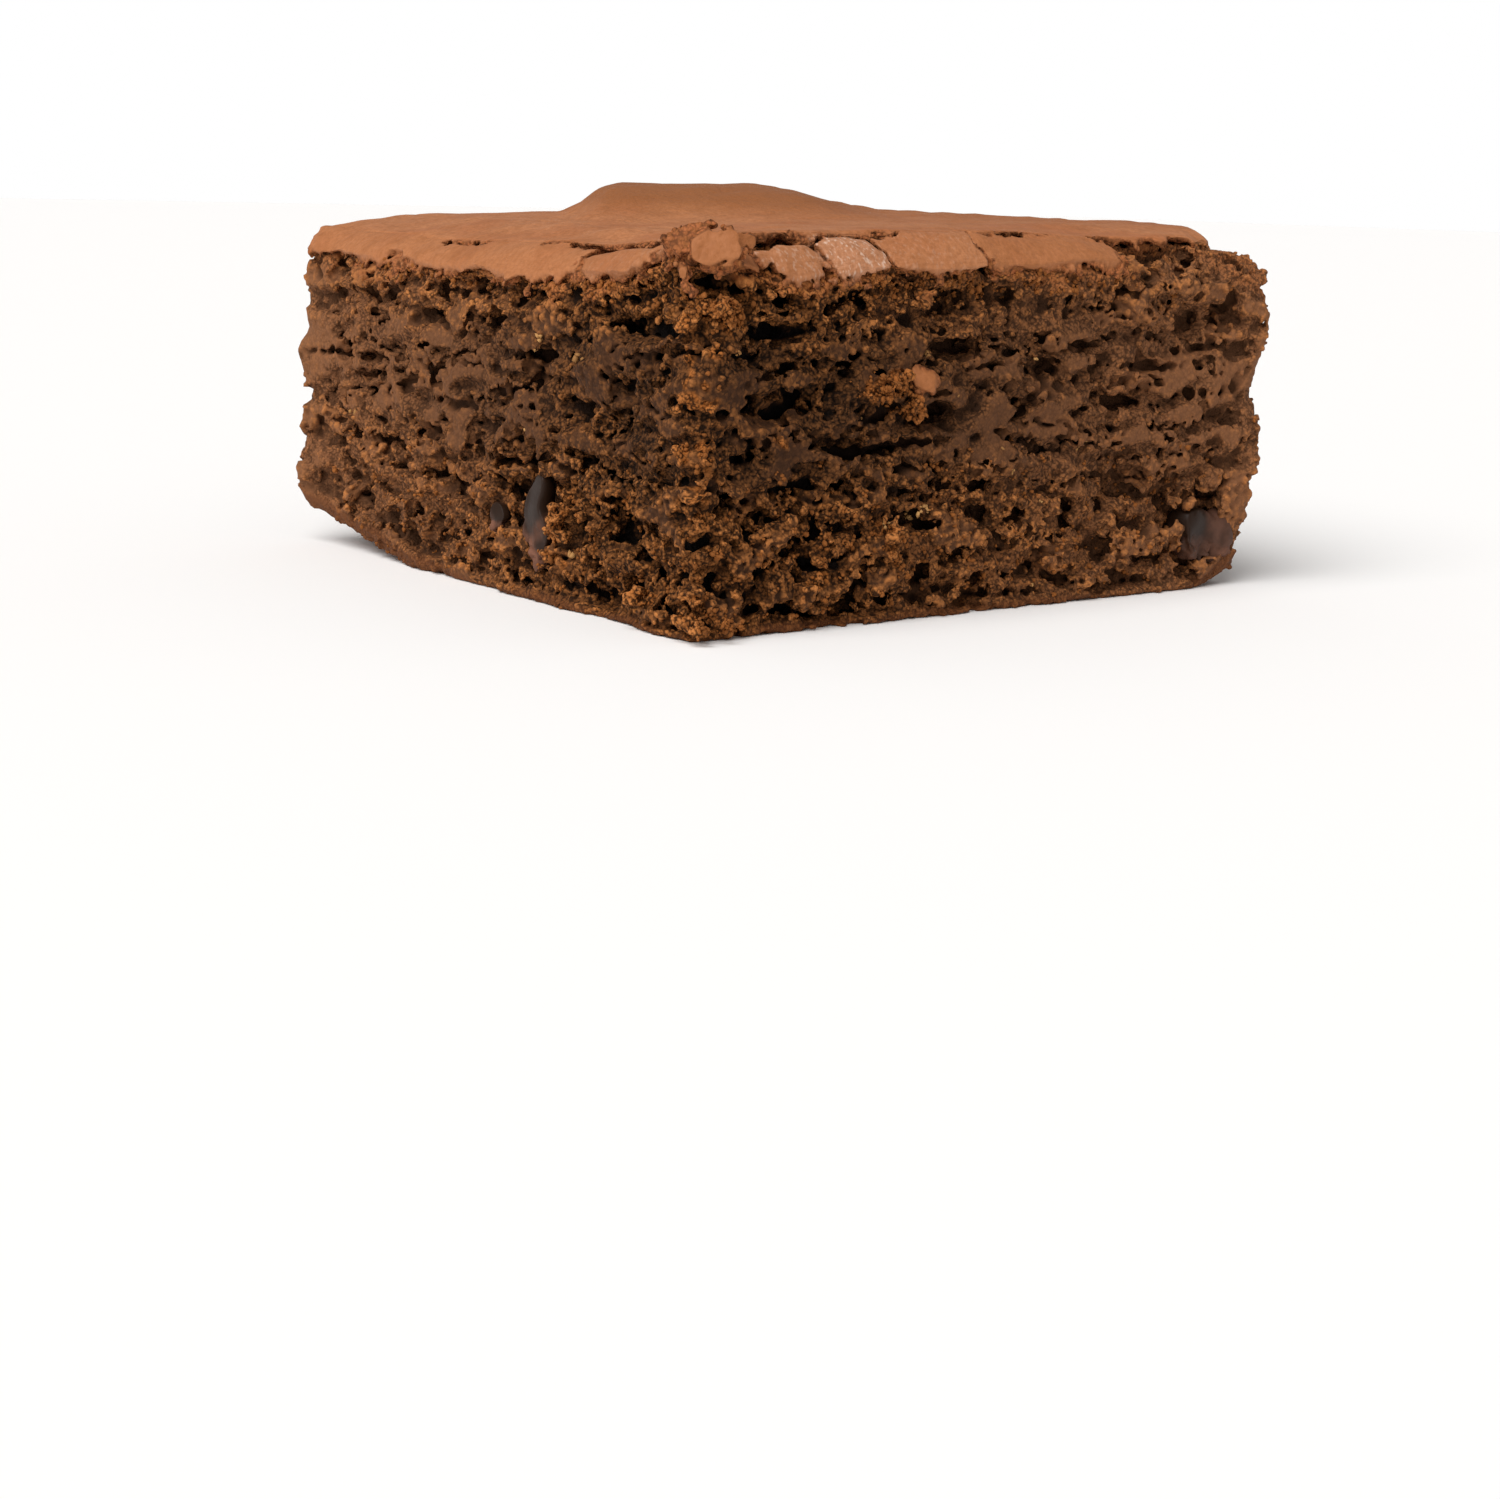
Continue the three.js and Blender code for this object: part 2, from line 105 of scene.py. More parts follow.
# The underside lifts off the flat at the left and right corners: by how much, how far in and how steeply.
# The crust rises at the left corner: by how much and how far in, all in millimetres
LEFT_LIFT = (5.4, 17, 1.4)
RIGHT_LIFT = (3.6, 5, 1.7)
CORNER_RISE = (1.6, 5)

# Along the two front edges, each as places along the edge and the values there, in millimetres: how far
# the strip of crust is bent down, how far the crust behind it sags, how high its torn lower edge is, and
# how wide the crack behind it gapes
FRONT_DROP = ([-38, -22, 5, 20, 30], [1.5, 2.0, 1.2, 0.6, 0.3])
LEFT_DROP = ([-38, -30, -5, 10, 38], [1.3, 1.2, 0.9, 0.8, 0.5])
FRONT_SAG = ([-2, 10, 17, 38], [0.0, 0.55, 1.1, 0.9])
LEFT_SAG = ([-34, -28, -20, 10, 25, 38], [0.2, 0.8, 1.4, 1.4, 0.9, 0.5])
FRONT_LIP = (
    [-31.5, -26, -22.3, -18, -14.8, -10, -6, -2.5, 1, 5, 10, 15],
    [34.8, 33.8, 34.3, 33.9, 34.7, 34.9, 35.1, 35.8, 36.1, 35.9, 35.4, 35.1],
)
LEFT_LIP = (
    [-34, -30, -26, -20, -12, -6, -2, 6, 14, 22, 34, 38],
    [34.6, 34.4, 34.1, 33.9, 33.8, 33.8, 34.3, 34.2, 34.6, 35.0, 35.1, 35.0],
)
FRONT_CRACK = (
    [-32, -30.5, -26.5, -23.5, -17, -12.5, -11, -1, 0, 7, 9, 13, 17, 18.5],
    [0, 1.2, 1.1, 0.5, 0.4, 0.3, 0, 0, 0.35, 0.25, 0, 0, 0.4, 0],
)
LEFT_CRACK = (
    [-34, -32, -29, -21, -14, -9, -8, 2, 3, 8, 11, 12],
    [0, 0.3, 0.7, 0.8, 0.6, 0.3, 0, 0, 0.4, 0.5, 0.3, 0],
)

# The crust is meshed in three pieces, in millimetres: how far the two long ones reach in from the bar's
# edge, how far all three overlap, how far the long ones tuck under the sheet there, and their lowest cells
EDGE_REACH = 4.6
CRUST_LAP = 0.9
CRUST_TUCK = 0.08
CRUST_BOTTOM = 31.0

# The strips of crust along the two front edges are broken into plates: the places of the breaks, then
# for each plate how far it stands proud, how much it is domed, how dark it is, and how much it shines.
# Its shine makes it glossier and is also painted on as a paler sheen and glints
FRONT_SPLITS = (-30.2, -22.3, -14.8, -1.2)
FRONT_PLATES = (
    (-0.3, 0.3, 0.5, 0.0),
    (0.1, 0.75, 0.3, 0.4),
    (0.15, 0.6, 0.0, 1.0),
    (-0.05, 0.15, 0.15, 0.15),
    (-0.15, 0.25, 0.3, 0.0),
)
LEFT_SPLITS = (-30.3, -18.6)
LEFT_PLATES = (
    (0.0, 0.5, 0.4, 0.1),
    (0.15, 0.7, 0.35, 0.1),
    (-0.05, 0.0, 0.25, 0.0),
)


def colour(text):
    """The linear colour of an sRGB hex value, with an alpha of 1."""
    levels = [int(text[i : i + 2], 16) / 255 for i in (1, 3, 5)]
    linear = [v / 12.92 if v <= 0.04045 else ((v + 0.055) / 1.055) ** 2.4 for v in levels]
    return (*linear, 1.0)


def size_property(name, description, default_mm):
    """A length setting, from its default in millimetres."""
    return FloatProperty(
        name=name, description=description, default=default_mm * MM, min=0.0, unit="LENGTH", precision=5
    )


def colour_property(name, description, text):
    """A colour setting, from the sRGB hex value of its default."""
    return FloatVectorProperty(
        name=name, description=description, default=colour(text), size=4, min=0.0, max=1.0, subtype="COLOR"
    )


class CrumbSettings(bpy.types.PropertyGroup):
    """Sizes and colours of the torn crumb."""

    cell: size_property("Cell", "Edge of the small cells that the crumb is carved in", 0.18)
    wall: size_property("Wall", "How deep the carved layer reaches into the bar", 7.2)
    bubbles: IntProperty(name="Bubbles", description="Bubbles cut open on each side", default=260, min=0)
    tears: IntProperty(name="Tears", description="Flat tears on each side", default=80, min=0)
    fudge: colour_property("Fudge", "Smooth dense patches", "#432a1a")
    crumb: colour_property("Crumb", "Open dry crumb", "#6c411f")
    moist: colour_property("Moist", "Moist crumb of the middle", "#52331b")
    # Painted highlight, laid on the raised tips of the crumb
    painted_tip_light: colour_property("Toast", "Raised dry tips of the crumb", "#bd7840")
    golden: colour_property("Golden", "Clumps of crumb broken from the crust", "#a8642e")
    under: colour_property("Under", "Crumb that clings to the broken crust", "#a66437")
    # Painted haze, laid over the crumb towards the far corners
    painted_haze: colour_property("Faded", "Drier crumb towards the far corners", "#86593b")
    # Painted shade, deep in the holes and between the grains
    painted_pit_shade: colour_property("Pit", "Crumb deep inside a hole", "#080301")
    base: colour_property("Base", "Thin brown skin along the bottom", "#60371e")
    toasted: colour_property("Toasted", "Loose crumbs of crust", "#94592b")
    pale: colour_property("Pale", "Palest loose crumbs", "#c8985f")


class CrustSettings(bpy.types.PropertyGroup):
    """Sizes and colours of the crust."""

    cell: size_property("Cell", "Edge of the small cells that the crust is carved in", 0.25)
    thickness: size_property("Thickness", "Thickness of the crust sheet", 1.4)
    sheet: colour_property("Sheet", "Smooth top of the crust", "#a9633a")
    streak: colour_property("Streak", "Paler streaks in the crust", "#b9794f")
    edge: colour_property("Edge", "Broken edge of the crust", "#8d552c")
    # Painted sheen: the shining plates are drawn paler
    pale: colour_property("Pale", "The palest, shining plates", "#bf8b6b")
    glint: colour_property("Glint", "Small glints on the shining plates", "#e6c9b4")
    # Painted shade between the grains of a broken edge and in the cracks and hollows
    gap: colour_property("Gap", "Between the grains of a broken edge", "#341a0b")


class ChipSettings(bpy.types.PropertyGroup):
    """Colours of the chocolate chips."""

    dark: colour_property("Dark", "Smooth chocolate", "#281910")
    bloom: colour_property("Bloom", "Pale bloom and cut chocolate", "#77503f")


class StageSettings(bpy.types.PropertyGroup):
    """Floor and light."""

    floor: colour_property("Floor", "Plain pale floor", "#fffdfb")
    light: FloatProperty(
        name="Light", description="Strength of the surroundings overhead", default=0.3, min=0.0
    )


# Fields: everything below works in millimetres, on boxes of small cells


class Slab:
    """A box of cells: their coordinates, and how far they lie inside each cut side.

    Slabs of one cell size share one lattice, so that they meet exactly. Along the front side a place is
    called u, along the left one v, both counted from the bar's own middle.
    """

    def __init__(self, low, high, step):
        self.step = step
        self.start = np.floor(np.array(low) / step).astype(int)
        end = np.ceil(np.array(high) / step).astype(int)
        self.axes = [np.arange(a, b + 1) * step for a, b in zip(self.start, end)]
        self.x, self.y, self.z = (a.astype(np.float32) for a in np.ix_(*self.axes))
        self.shape = tuple(len(a) for a in self.axes)
        self.u = self.x - MIDDLE[0]
        self.v = self.y - MIDDLE[1]
        self.front = self.v + HALF_D
        self.left = self.u + HALF_W
        self.back = HALF_D - self.v
        self.right = HALF_W - self.u

    def box(self, low, high):
        """Distance outside a box, negative inside it."""
        sides = [np.maximum(a - c, c - b) for c, a, b in zip((self.x, self.y, self.z), low, high)]
        return np.maximum(np.maximum(sides[0], sides[1]), sides[2])

    def filled(self, values):
        """Values that vary in plan only, or not at all, given to every cell."""
        return values + np.zeros(self.shape, np.float32)


def ramp(value, low, high):
    """Smooth step from 0 at low to 1 at high."""
    t = np.clip((value - low) / (high - low), 0, 1)
    return t * t * (3 - 2 * t)


def draw_out(values, origin, cell, axes):
    """Values on a coarse lattice, drawn out with cubic B-splines over the product of some axes."""
    for axis, places in enumerate(axes):
        spot = (places - origin[axis]) / cell[axis]
        whole = np.floor(spot).astype(int)
        f = (spot - whole).astype(np.float32)
        weights = (
            (1 - f) ** 3 / 6,
            (3 * f**3 - 6 * f**2 + 4) / 6,
            (-3 * f**3 + 3 * f**2 + 3 * f + 1) / 6,
            f**3 / 6,
        )
        shape = [1] * len(axes)
        shape[axis] = len(places)
        top = values.shape[axis] - 1
        values = sum(
            w.reshape(shape) * np.take(values, np.clip(whole + k - 1, 0, top), axis=axis)
            for k, w in enumerate(weights)
        )
    return values


# Box that the random fields cover, in millimetres, and the factors that bring their smoothed values back
# to a spread of about one, in space and in plan
REACH_LOW = np.array([-46.0, -46.0, -6.0])
REACH_HIGH = np.array([46.0, 46.0, 50.0])
SPREAD = 3.0
PLAN_SPREAD = 2.0


def noise(slab, seed, cell):
    """A smooth random field with a spread of about one, the same wherever slabs overlap.

    Each use has a seed of its own, and the size of its cells in millimetres.
    """
    cell = np.broadcast_to(np.array(cell, float), 3)
    count = np.ceil((REACH_HIGH - REACH_LOW) / cell).astype(int) + 3
    values = np.random.default_rng(seed).standard_normal(count, dtype=np.float32)
    return SPREAD * draw_out(values, REACH_LOW, cell, slab.axes)


def plan_noise(slab, seed, cell):
    """The same in plan only, one value for each column of cells."""
    count = np.ceil((REACH_HIGH[:2] - REACH_LOW[:2]) / cell).astype(int) + 3
    values = np.random.default_rng(seed).standard_normal(count, dtype=np.float32)
    return PLAN_SPREAD * draw_out(values, REACH_LOW, (cell, cell), slab.axes[:2])[:, :, None]


class BarField:
    """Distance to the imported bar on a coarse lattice, and the height of its top."""

    cell = 0.5
    band = 16

    def __init__(self):
        points, triangles = merged_mesh(frame["nodes"][BAR].data)
        grid = openvdb.FloatGrid.createLevelSetFromPolygons(
            points,
            triangles=triangles,
            transform=openvdb.createLinearTransform(voxelSize=self.cell),
            halfWidth=self.band,
        )
        self.start = np.floor(BAR_LOW / self.cell).astype(int) - 6
        end = np.ceil(BAR_HIGH / self.cell).astype(int) + 6
        self.values = np.empty(tuple(end - self.start), np.float32)
        grid.copyToArray(self.values, ijk=tuple(int(v) for v in self.start))
        self.origin = self.start * self.cell
        self.top = self.top_heights()

    def top_heights(self):
        """Height of the top over each coarse cell, with cracks filled and the edges drawn outwards."""
        solid = self.values < 0
        index = solid.shape[2] - 1 - np.argmax(solid[:, :, ::-1], axis=2)
        index = np.minimum(index, solid.shape[2] - 2)
        above = np.take_along_axis(self.values, index[:, :, None] + 1, 2)[:, :, 0]
        inside = np.take_along_axis(self.values, index[:, :, None], 2)[:, :, 0]
        empty = ~solid.any(axis=2)
        top = self.origin[2] + self.cell * (index + inside / np.where(empty, 1, inside - above))
        top[empty] = 0
        for _ in range(16):
            top = np.where(top > 30, top, shifted_extreme(top, 1, np.maximum))
        return shifted_extreme(shifted_extreme(top, 4, np.maximum), 4, np.minimum)

    def distance(self, slab):
        """Distance of each cell to the bar's surface, negative inside."""
        return draw_out(self.values, self.origin, (self.cell,) * 3, slab.axes)

    def height(self, slab):
        """Height of the bar's top over each column of cells."""
        return draw_out(self.top, self.origin, (self.cell,) * 2, slab.axes[:2])[:, :, None]


def merged_mesh(mesh):
    """Points in millimetres and triangles of a mesh, with its doubles merged."""
    flat = np.empty(len(mesh.vertices) * 3, np.float32)
    mesh.vertices.foreach_get("co", flat)
    mesh.calc_loop_triangles()
    corners = np.empty(len(mesh.loop_triangles) * 3, np.int32)
    mesh.loop_triangles.foreach_get("vertices", corners)
    keys = np.round(flat.reshape(-1, 3) / MM * 1e4).astype(np.int64)
    points, where = np.unique(keys, axis=0, return_inverse=True)
    return points / 1e4, where.reshape(-1)[corners].reshape(-1, 3)


def shifted_extreme(values, reach, pick):
    """Largest or smallest value within some cells, in plan."""
    for axis in (0, 1):
        best = values
        for k in range(-reach, reach + 1):
            best = pick(best, np.roll(values, k, axis=axis))
        values = best
    return values


def box_blur(values, reach, passes=2):
    """Mean over a small cube, repeated for a softer one."""
    width = 2 * reach + 1
    for _ in range(passes):
        for axis in range(3):
            pad = [(reach + 1, reach) if a == axis else (0, 0) for a in range(3)]
            total = np.cumsum(np.pad(values, pad, mode="edge"), axis=axis, dtype=np.float64)
            upper = np.take(total, range(width, total.shape[axis]), axis=axis)
            lower = np.take(total, range(0, total.shape[axis] - width), axis=axis)
            values = ((upper - lower) / width).astype(np.float32)
    return values


def base_height(slab):
    """Height of the bar's underside: it lifts off the flat at the left corner and a little at the right."""
    from_left = np.hypot(slab.u + HALF_W, slab.v - HALF_D)
    from_right = np.hypot(slab.u - HALF_W, slab.v + HALF_D)
    return sum(
        height * np.exp(-((away / reach) ** power))
        for away, (height, reach, power) in ((from_left, LEFT_LIFT), (from_right, RIGHT_LIFT))
    )


def crust_heights(slab, bar, settings):
    """Height of the crust's top and of its underside over each column, bent down at the cut sides."""
    u, v, front, left = slab.u, slab.v, slab.front, slab.left
    bend = sunk = 0
    for along, away, drop, crack in ((u, front, FRONT_DROP, FRONT_CRACK), (v, left, LEFT_DROP, LEFT_CRACK)):
        bend = np.maximum(bend, np.interp(along, *drop) * np.clip(1 - away / STRIP_WIDTH, 0, 1) ** 1.3)
        on_strip = 1 - ramp(away, STRIP_WIDTH - 0.4, STRIP_WIDTH + 0.3)
        sunk = np.maximum(sunk, 0.3 * np.clip(np.interp(along, *crack), 0, 1) * on_strip)
    top = bar.height(slab) - bend - sunk - crust_sag(slab) + far_rise(slab)
    ragged = 0.25 * plan_noise(slab, 311, 2.8) + 0.16 * plan_noise(slab, 312, 1.1)
    ragged = np.clip(ragged, -0.4, 0.5)
    thinner = 0.45 * ramp(u, STRIP_END - 2, STRIP_END + 1) * (1 - ramp(front, 6.0, 10.0))
    under = top - settings.thickness / MM * (1 - thinner)
    for lip, away in (
        (np.interp(u, *FRONT_LIP), front),
        (np.interp(v, *LEFT_LIP), left),
        (top - PLAIN_LIP, slab.back),
        (top - PLAIN_LIP, slab.right),
    ):
        under = np.minimum(under, lip + ragged + 1.3 * away)
    return top, under


def crust_sag(slab):
    """How far the crust sags towards the two front edges, all the way across its strips."""
    sag = 0
    for along, away, table in ((slab.u, slab.front, FRONT_SAG), (slab.v, slab.left, LEFT_SAG)):
        fading = np.exp(-((np.maximum(away - STRIP_WIDTH, 0) / 6) ** 2))
        sag = np.maximum(sag, np.interp(along, *table) * fading)
    return sag


def far_rise(slab):
    """How far the crust stands above its solid at the left corner and along the back beside it."""
    height, reach = CORNER_RISE
    at_corner = height * np.exp(-(((slab.left + slab.back) / reach) ** 2))
    return 0.5 * ramp(slab.v - slab.u, 15, 45) * ramp(slab.left, 2, 8) + at_corner


def shoulder(slab):
    """Below 1 over the bare crumb of the right corner."""
    return slab.right / 8 + slab.front / 9.5


def missing_strip(slab, reach=STRIP_WIDTH + 0.4):
    """How far each column lies inside the length of the front edge that has lost its strip of crust."""
    return np.minimum(slab.u - STRIP_END, reach - slab.front) + 0.45 * plan_noise(slab, 314, 1.4)


def split_bend(slab):
    """How far the breaks across the crust strips wander along the strip."""
    lean = 0.3 * (slab.z - CRUST_TOP + 2)
    return lean + 0.6 * noise(slab, 303, 2.0) + 0.25 * noise(slab, 304, 0.7)


def cracks(slab):
    """How deep each cell lies inside a crack of the crust."""
    wander = 0.35 * plan_noise(slab, 301, 2.2) + 0.18 * plan_noise(slab, 302, 0.7)
    across = split_bend(slab)
    wide = 0.14 + 0.1 * noise(slab, 305, 1.3)
    deep = -np.inf
    for along, away, crack, splits in (
        (slab.u, slab.front, FRONT_CRACK, FRONT_SPLITS),
        (slab.v, slab.left, LEFT_CRACK, LEFT_SPLITS),
    ):
        gape = np.interp(along, *crack)
        behind_strip = gape / 2 - np.abs(away - STRIP_WIDTH - wander)
        deep = np.maximum(deep, np.where(gape > 0, behind_strip, -1))
        for place in splits:
            slit = wide - np.abs(along - place + across)
            deep = np.maximum(deep, np.where(away < STRIP_WIDTH, slit, -1))
    return deep.astype(np.float32)


def plates(slab):
    """The relief of the plates that the crust strips are broken into, and their tone and shine."""
    bend = split_bend(slab)
    relief, tone, shine = 0, 0, 0
    for along, away, splits, table, crack in (
        (slab.u, slab.front, FRONT_SPLITS, FRONT_PLATES, FRONT_CRACK),
        (slab.v, slab.left, LEFT_SPLITS, LEFT_PLATES, LEFT_CRACK),
    ):
        own = np.array(table)[np.searchsorted(splits, along + bend)]
        nearest = np.min([np.abs(along + bend - split) for split in splits], axis=0)
        at_ends = 0.9 * (1 - np.sqrt(np.clip(nearest / 3.2, 0, 1)))
        fall = at_ends + np.clip(np.interp(along, *crack), 0, 1) * ramp(away, 1.8, STRIP_WIDTH)
        strip = 1 - ramp(away, STRIP_WIDTH - 0.3, STRIP_WIDTH + 0.2)
        relief = relief + strip * (own[..., 0] - own[..., 1] * fall)
        tone = np.maximum(tone, strip * own[..., 2])
        shine = np.maximum(shine, strip * own[..., 3])
    return relief.astype(np.float32), tone, shine


# Large dark hollows that show in the two nearest sides: place along the side, height, half length
# and half height, in millimetres
FRONT_HOLLOWS = [
    (-6.6, 31.5, 2.6, 1.1), (-5.1, 27.1, 2.9, 1.2), (7.7, 24.9, 2.6, 1.0), (14.6, 24.4, 2.1, 1.0),
    (33.0, 29.6, 1.5, 2.6), (28.5, 28.7, 2.4, 0.9), (-30.8, 22.1, 1.2, 0.7), (-8.1, 20.4, 2.5, 1.1),
    (-28.2, 21.2, 1.4, 0.8), (-25.6, 20.8, 1.5, 0.6), (-23.6, 21.8, 1.0, 0.5), (-20.6, 17.8, 2.4, 0.6),
    (-27.4, 29.0, 2.8, 0.4), (-31.2, 12.8, 1.9, 1.2),
    (-28.9, 11.2, 1.6, 1.0), (11.1, 2.6, 2.2, 0.9), (19.6, 12.5, 3.0, 0.8), (29.6, 10.9, 1.8, 0.6),
    (3.9, 19.7, 2.8, 0.45), (17.8, 21.0, 2.8, 0.55),
    (-18.1, 26.7, 2.0, 0.6), (17.4, 21.3, 2.4, 0.7), (-14.0, 17.3, 2.2, 0.8), (-6.6, 13.9, 2.0, 0.9),
    (-0.8, 11.6, 1.6, 0.9), (-24.3, 12.7, 1.8, 0.9), (-20.2, 14.3, 1.6, 0.7), (29.0, 1.9, 2.0, 0.6),
]
LEFT_HOLLOWS = [
    (-11.5, 23.4, 2.4, 1.1), (-1.3, 27.7, 2.0, 0.9), (1.9, 31.4, 2.9, 0.8), (-8.0, 31.7, 2.1, 0.8),
    (10.8, 28.0, 2.0, 0.8), (18.1, 34.0, 2.2, 0.6), (28.1, 21.7, 1.5, 0.9), (-32.4, 28.3, 1.2, 0.5),
    (-28.8, 28.9, 1.3, 0.4),
    (-18.3, 20.2, 3.0, 1.0), (-9.1, 15.4, 3.4, 1.3), (-5.4, 11.0, 1.4, 1.1), (-26.0, 9.0, 2.6, 1.3),
    (28.9, 18.0, 1.4, 0.8), (-17.1, 19.6, 1.6, 0.8), (-4.1, 11.6, 1.4, 0.9), (-5.7, 8.0, 1.1, 1.0),
]

# Black hollows under the broken crust of the near corner, and clumps of golden crumb: middles and half
# sizes in the bar's own millimetres
CORNER_HOLLOWS = [
    ((-34.9, -38.6, 33.4), (3.0, 5.8, 1.2)), ((-37.9, -34.6, 33.4), (4.6, 1.3, 1.7)),
    ((-37.2, -38.2, 33.3), (2.6, 3.4, 1.5)),
]
CLUMPS = [
    ((-36.5, -38.0, 26.7), (0.7, 1.0, 0.5)), ((-37.3, -37.9, 24.7), (0.5, 1.0, 0.6)),
    ((-37.4, -38.0, 22.1), (0.9, 1.0, 0.8)), ((-37.4, -38.0, 17.9), (0.9, 1.0, 0.9)),
    ((-37.4, -37.9, 14.4), (0.5, 0.9, 0.5)), ((-37.0, -37.9, 12.2), (0.4, 0.9, 0.4)),
    ((-37.2, -37.9, 4.6), (0.8, 1.0, 0.5)), ((-36.8, -38.0, 1.3), (1.4, 1.3, 0.6)),
    ((-35.3, -38.0, 30.9), (2.0, 1.2, 0.6)), ((-37.3, -36.7, 30.0), (1.0, 1.1, 0.8)),
    ((-33.4, -38.0, 29.4), (0.9, 1.0, 0.6)), ((-14.2, -38.3, 23.6), (1.3, 1.5, 0.9)),
    ((-11.4, -38.4, 21.4), (0.9, 1.6, 1.3)), ((-16.2, -38.1, 23.1), (1.0, 1.2, 0.4)),
    ((-17.9, -38.1, 23.4), (0.5, 1.2, 0.8)), ((-13.4, -38.0, 8.9), (0.5, 1.1, 1.6)),
    ((-26.9, -38.0, 18.5), (0.4, 1.1, 0.4)), ((-22.6, -38.0, 4.6), (0.5, 1.0, 0.4)),
    ((-37.7, -30.0, 3.4), (1.0, 0.7, 0.5)), ((-37.7, -26.5, 12.0), (1.0, 0.5, 0.5)),
    ((-37.3, -15.3, 8.9), (1.1, 0.9, 1.3)), ((-37.4, -14.2, 5.2), (0.9, 0.8, 0.7)),
]

# Hollows of a side that has no named ones, and the radius of the grains on the torn crumb and of the loose
# crumbs, in millimetres
PLAIN_HOLLOWS = 20
GRAIN_RADIUS = (0.2, 0.36)
LOOSE_RADIUS = (0.16, 0.32)

# Loose crumb: the heights between which that of the bottom ends, the same for the band below the crust,
# counted from its top, and how far it reaches from the near corner
LOW_CRUMB = (9.0, 18.0)
TOP_BAND = (-11.0, -6.0)
EDGE_CRUMB = 5.0

# Where the crumb is bare of crust, at the right end of the front and at the near corner: from where along
# the front, and how high it stands
BARE_END = 25
BARE_END_TOP = 36.4
BARE_CORNER = -29
BARE_CORNER_TOP = 36.9

# A closed layer of crumb behind the hollows: how far inside the cut sides it starts, and its top
BACKING = 3.9
BACKING_TOP = 33.5

# The gap where the front edge has lost its strip of crust: how deep it goes, its floor and its right end,
# then the wall of crumb behind it: where it starts, how far inside the front it stands, and its heights
GAP_DEPTH = 4.9
GAP_FLOOR = 34.9
GAP_END = 29.5
WALL_START = 15
WALL_INSIDE = (5.1, 6.5)
WALL_HEIGHTS = (33.5, 36.8)

MARGIN = 0.6
SIDE_OVERLAP = 1.1
PART_REACH = 0.3
HIDDEN_COARSER = 1.6

# Triangles that the meshes are thinned to
TORN_SIDE_PART = 190000
PLAIN_SIDE = 110000
UNDERSIDE = 40000
CRUST_EDGE = 150000
CRUST_SHEET = 90000
CHIP = 9000
BIT = 12000


def on_side(side, along, inside, z):
    """A place in the bar's own millimetres from a place along a cut side and a distance inside it."""
    return {
        "front": (along, inside - HALF_D, z),
        "back": (along, HALF_D - inside, z),
        "left": (inside - HALF_W, along, z),
        "right": (HALF_W - inside, along, z),
    }[side]


def half_sizes(side, length, depth, height):
    """Half sizes along x, y and z of a form with a length along its side and a depth into it."""
    return (length, depth, height) if side in ("front", "back") else (depth, length, height)


def hole_list(side, settings, seed):
    """Hollows, bubbles and flat tears of one cut side: middles and half sizes."""
    rng = np.random.default_rng(seed)
    half = HALF_W if side in ("front", "back") else HALF_D
    named = {"front": FRONT_HOLLOWS, "left": LEFT_HOLLOWS}.get(side)
    if named is None:
        named = [
            (
                rng.uniform(3 - half, half - 3),
                rng.uniform(6, 32),
                rng.uniform(1.4, 3.8),
                rng.uniform(0.6, 1.3),
            )
            for _ in range(PLAIN_HOLLOWS)
        ]
    holes = [(on_side(side, a, 0.3, z), half_sizes(side, w, 2.8, h)) for a, z, w, h in named]
    for _ in range(settings.bubbles):
        z = rng.uniform(1.4, 34.0)
        low = 1 - float(ramp(z, 9.0, 17.0))
        height = rng.uniform(0.3, 0.6) * (1 + 0.9 * rng.random() ** 4)
        stretch = rng.uniform(1.3, 2.6) * (1 - low) + rng.uniform(0.9, 1.5) * low
        middle = on_side(side, rng.uniform(-half, half), rng.uniform(-0.2, 1.4), z)
        holes.append((middle, half_sizes(side, height * stretch, height * 1.5, height)))
    for _ in range(settings.tears):
        middle = on_side(side, rng.uniform(-half, half), rng.uniform(-0.2, 0.8), rng.uniform(12.0, 33.5))
        sizes = half_sizes(side, rng.uniform(1.3, 3.8), rng.uniform(0.8, 2.2), rng.uniform(0.2, 0.4))
        holes.append((middle, sizes))
    return holes


def bent_places(slab):
    """The bar's own coordinates of each cell, bent by noise, so that what they shape comes out uneven."""
    bend = [0.5 * noise(slab, seed, 1.6) + 0.5 * noise(slab, seed + 10, 0.62) for seed in (321, 322, 323)]
    return [slab.u + bend[0], slab.v + bend[1], slab.z + 0.6 * bend[2]]


def carve(slab, places, holes):
    """How deep each cell lies inside one of some rounded forms, given by their middles and half sizes."""
    deep = np.full(slab.shape, -1.0, np.float32)
    for middle, half in holes:
        spans = block(slab, np.array(middle) + MIDDLE, np.array(half) + 1.5)
        if spans is None:
            continue
        square = sum(((p[spans] - m) / h) ** 2 for p, m, h in zip(places, middle, half))
        deep[spans] = np.maximum(deep[spans], (1 - np.sqrt(square)) * min(half))
    return deep


def block(slab, middle, reach):
    """The part of a slab within some distances of a place, or None if it lies outside."""
    first = np.ceil((middle - reach) / slab.step).astype(int) - slab.start
    last = np.floor((middle + reach) / slab.step).astype(int) - slab.start + 1
    first = np.maximum(first, 0)
    last = np.minimum(last, slab.shape)
    if (last <= first).any():
        return None
    return tuple(slice(a, b) for a, b in zip(first, last))


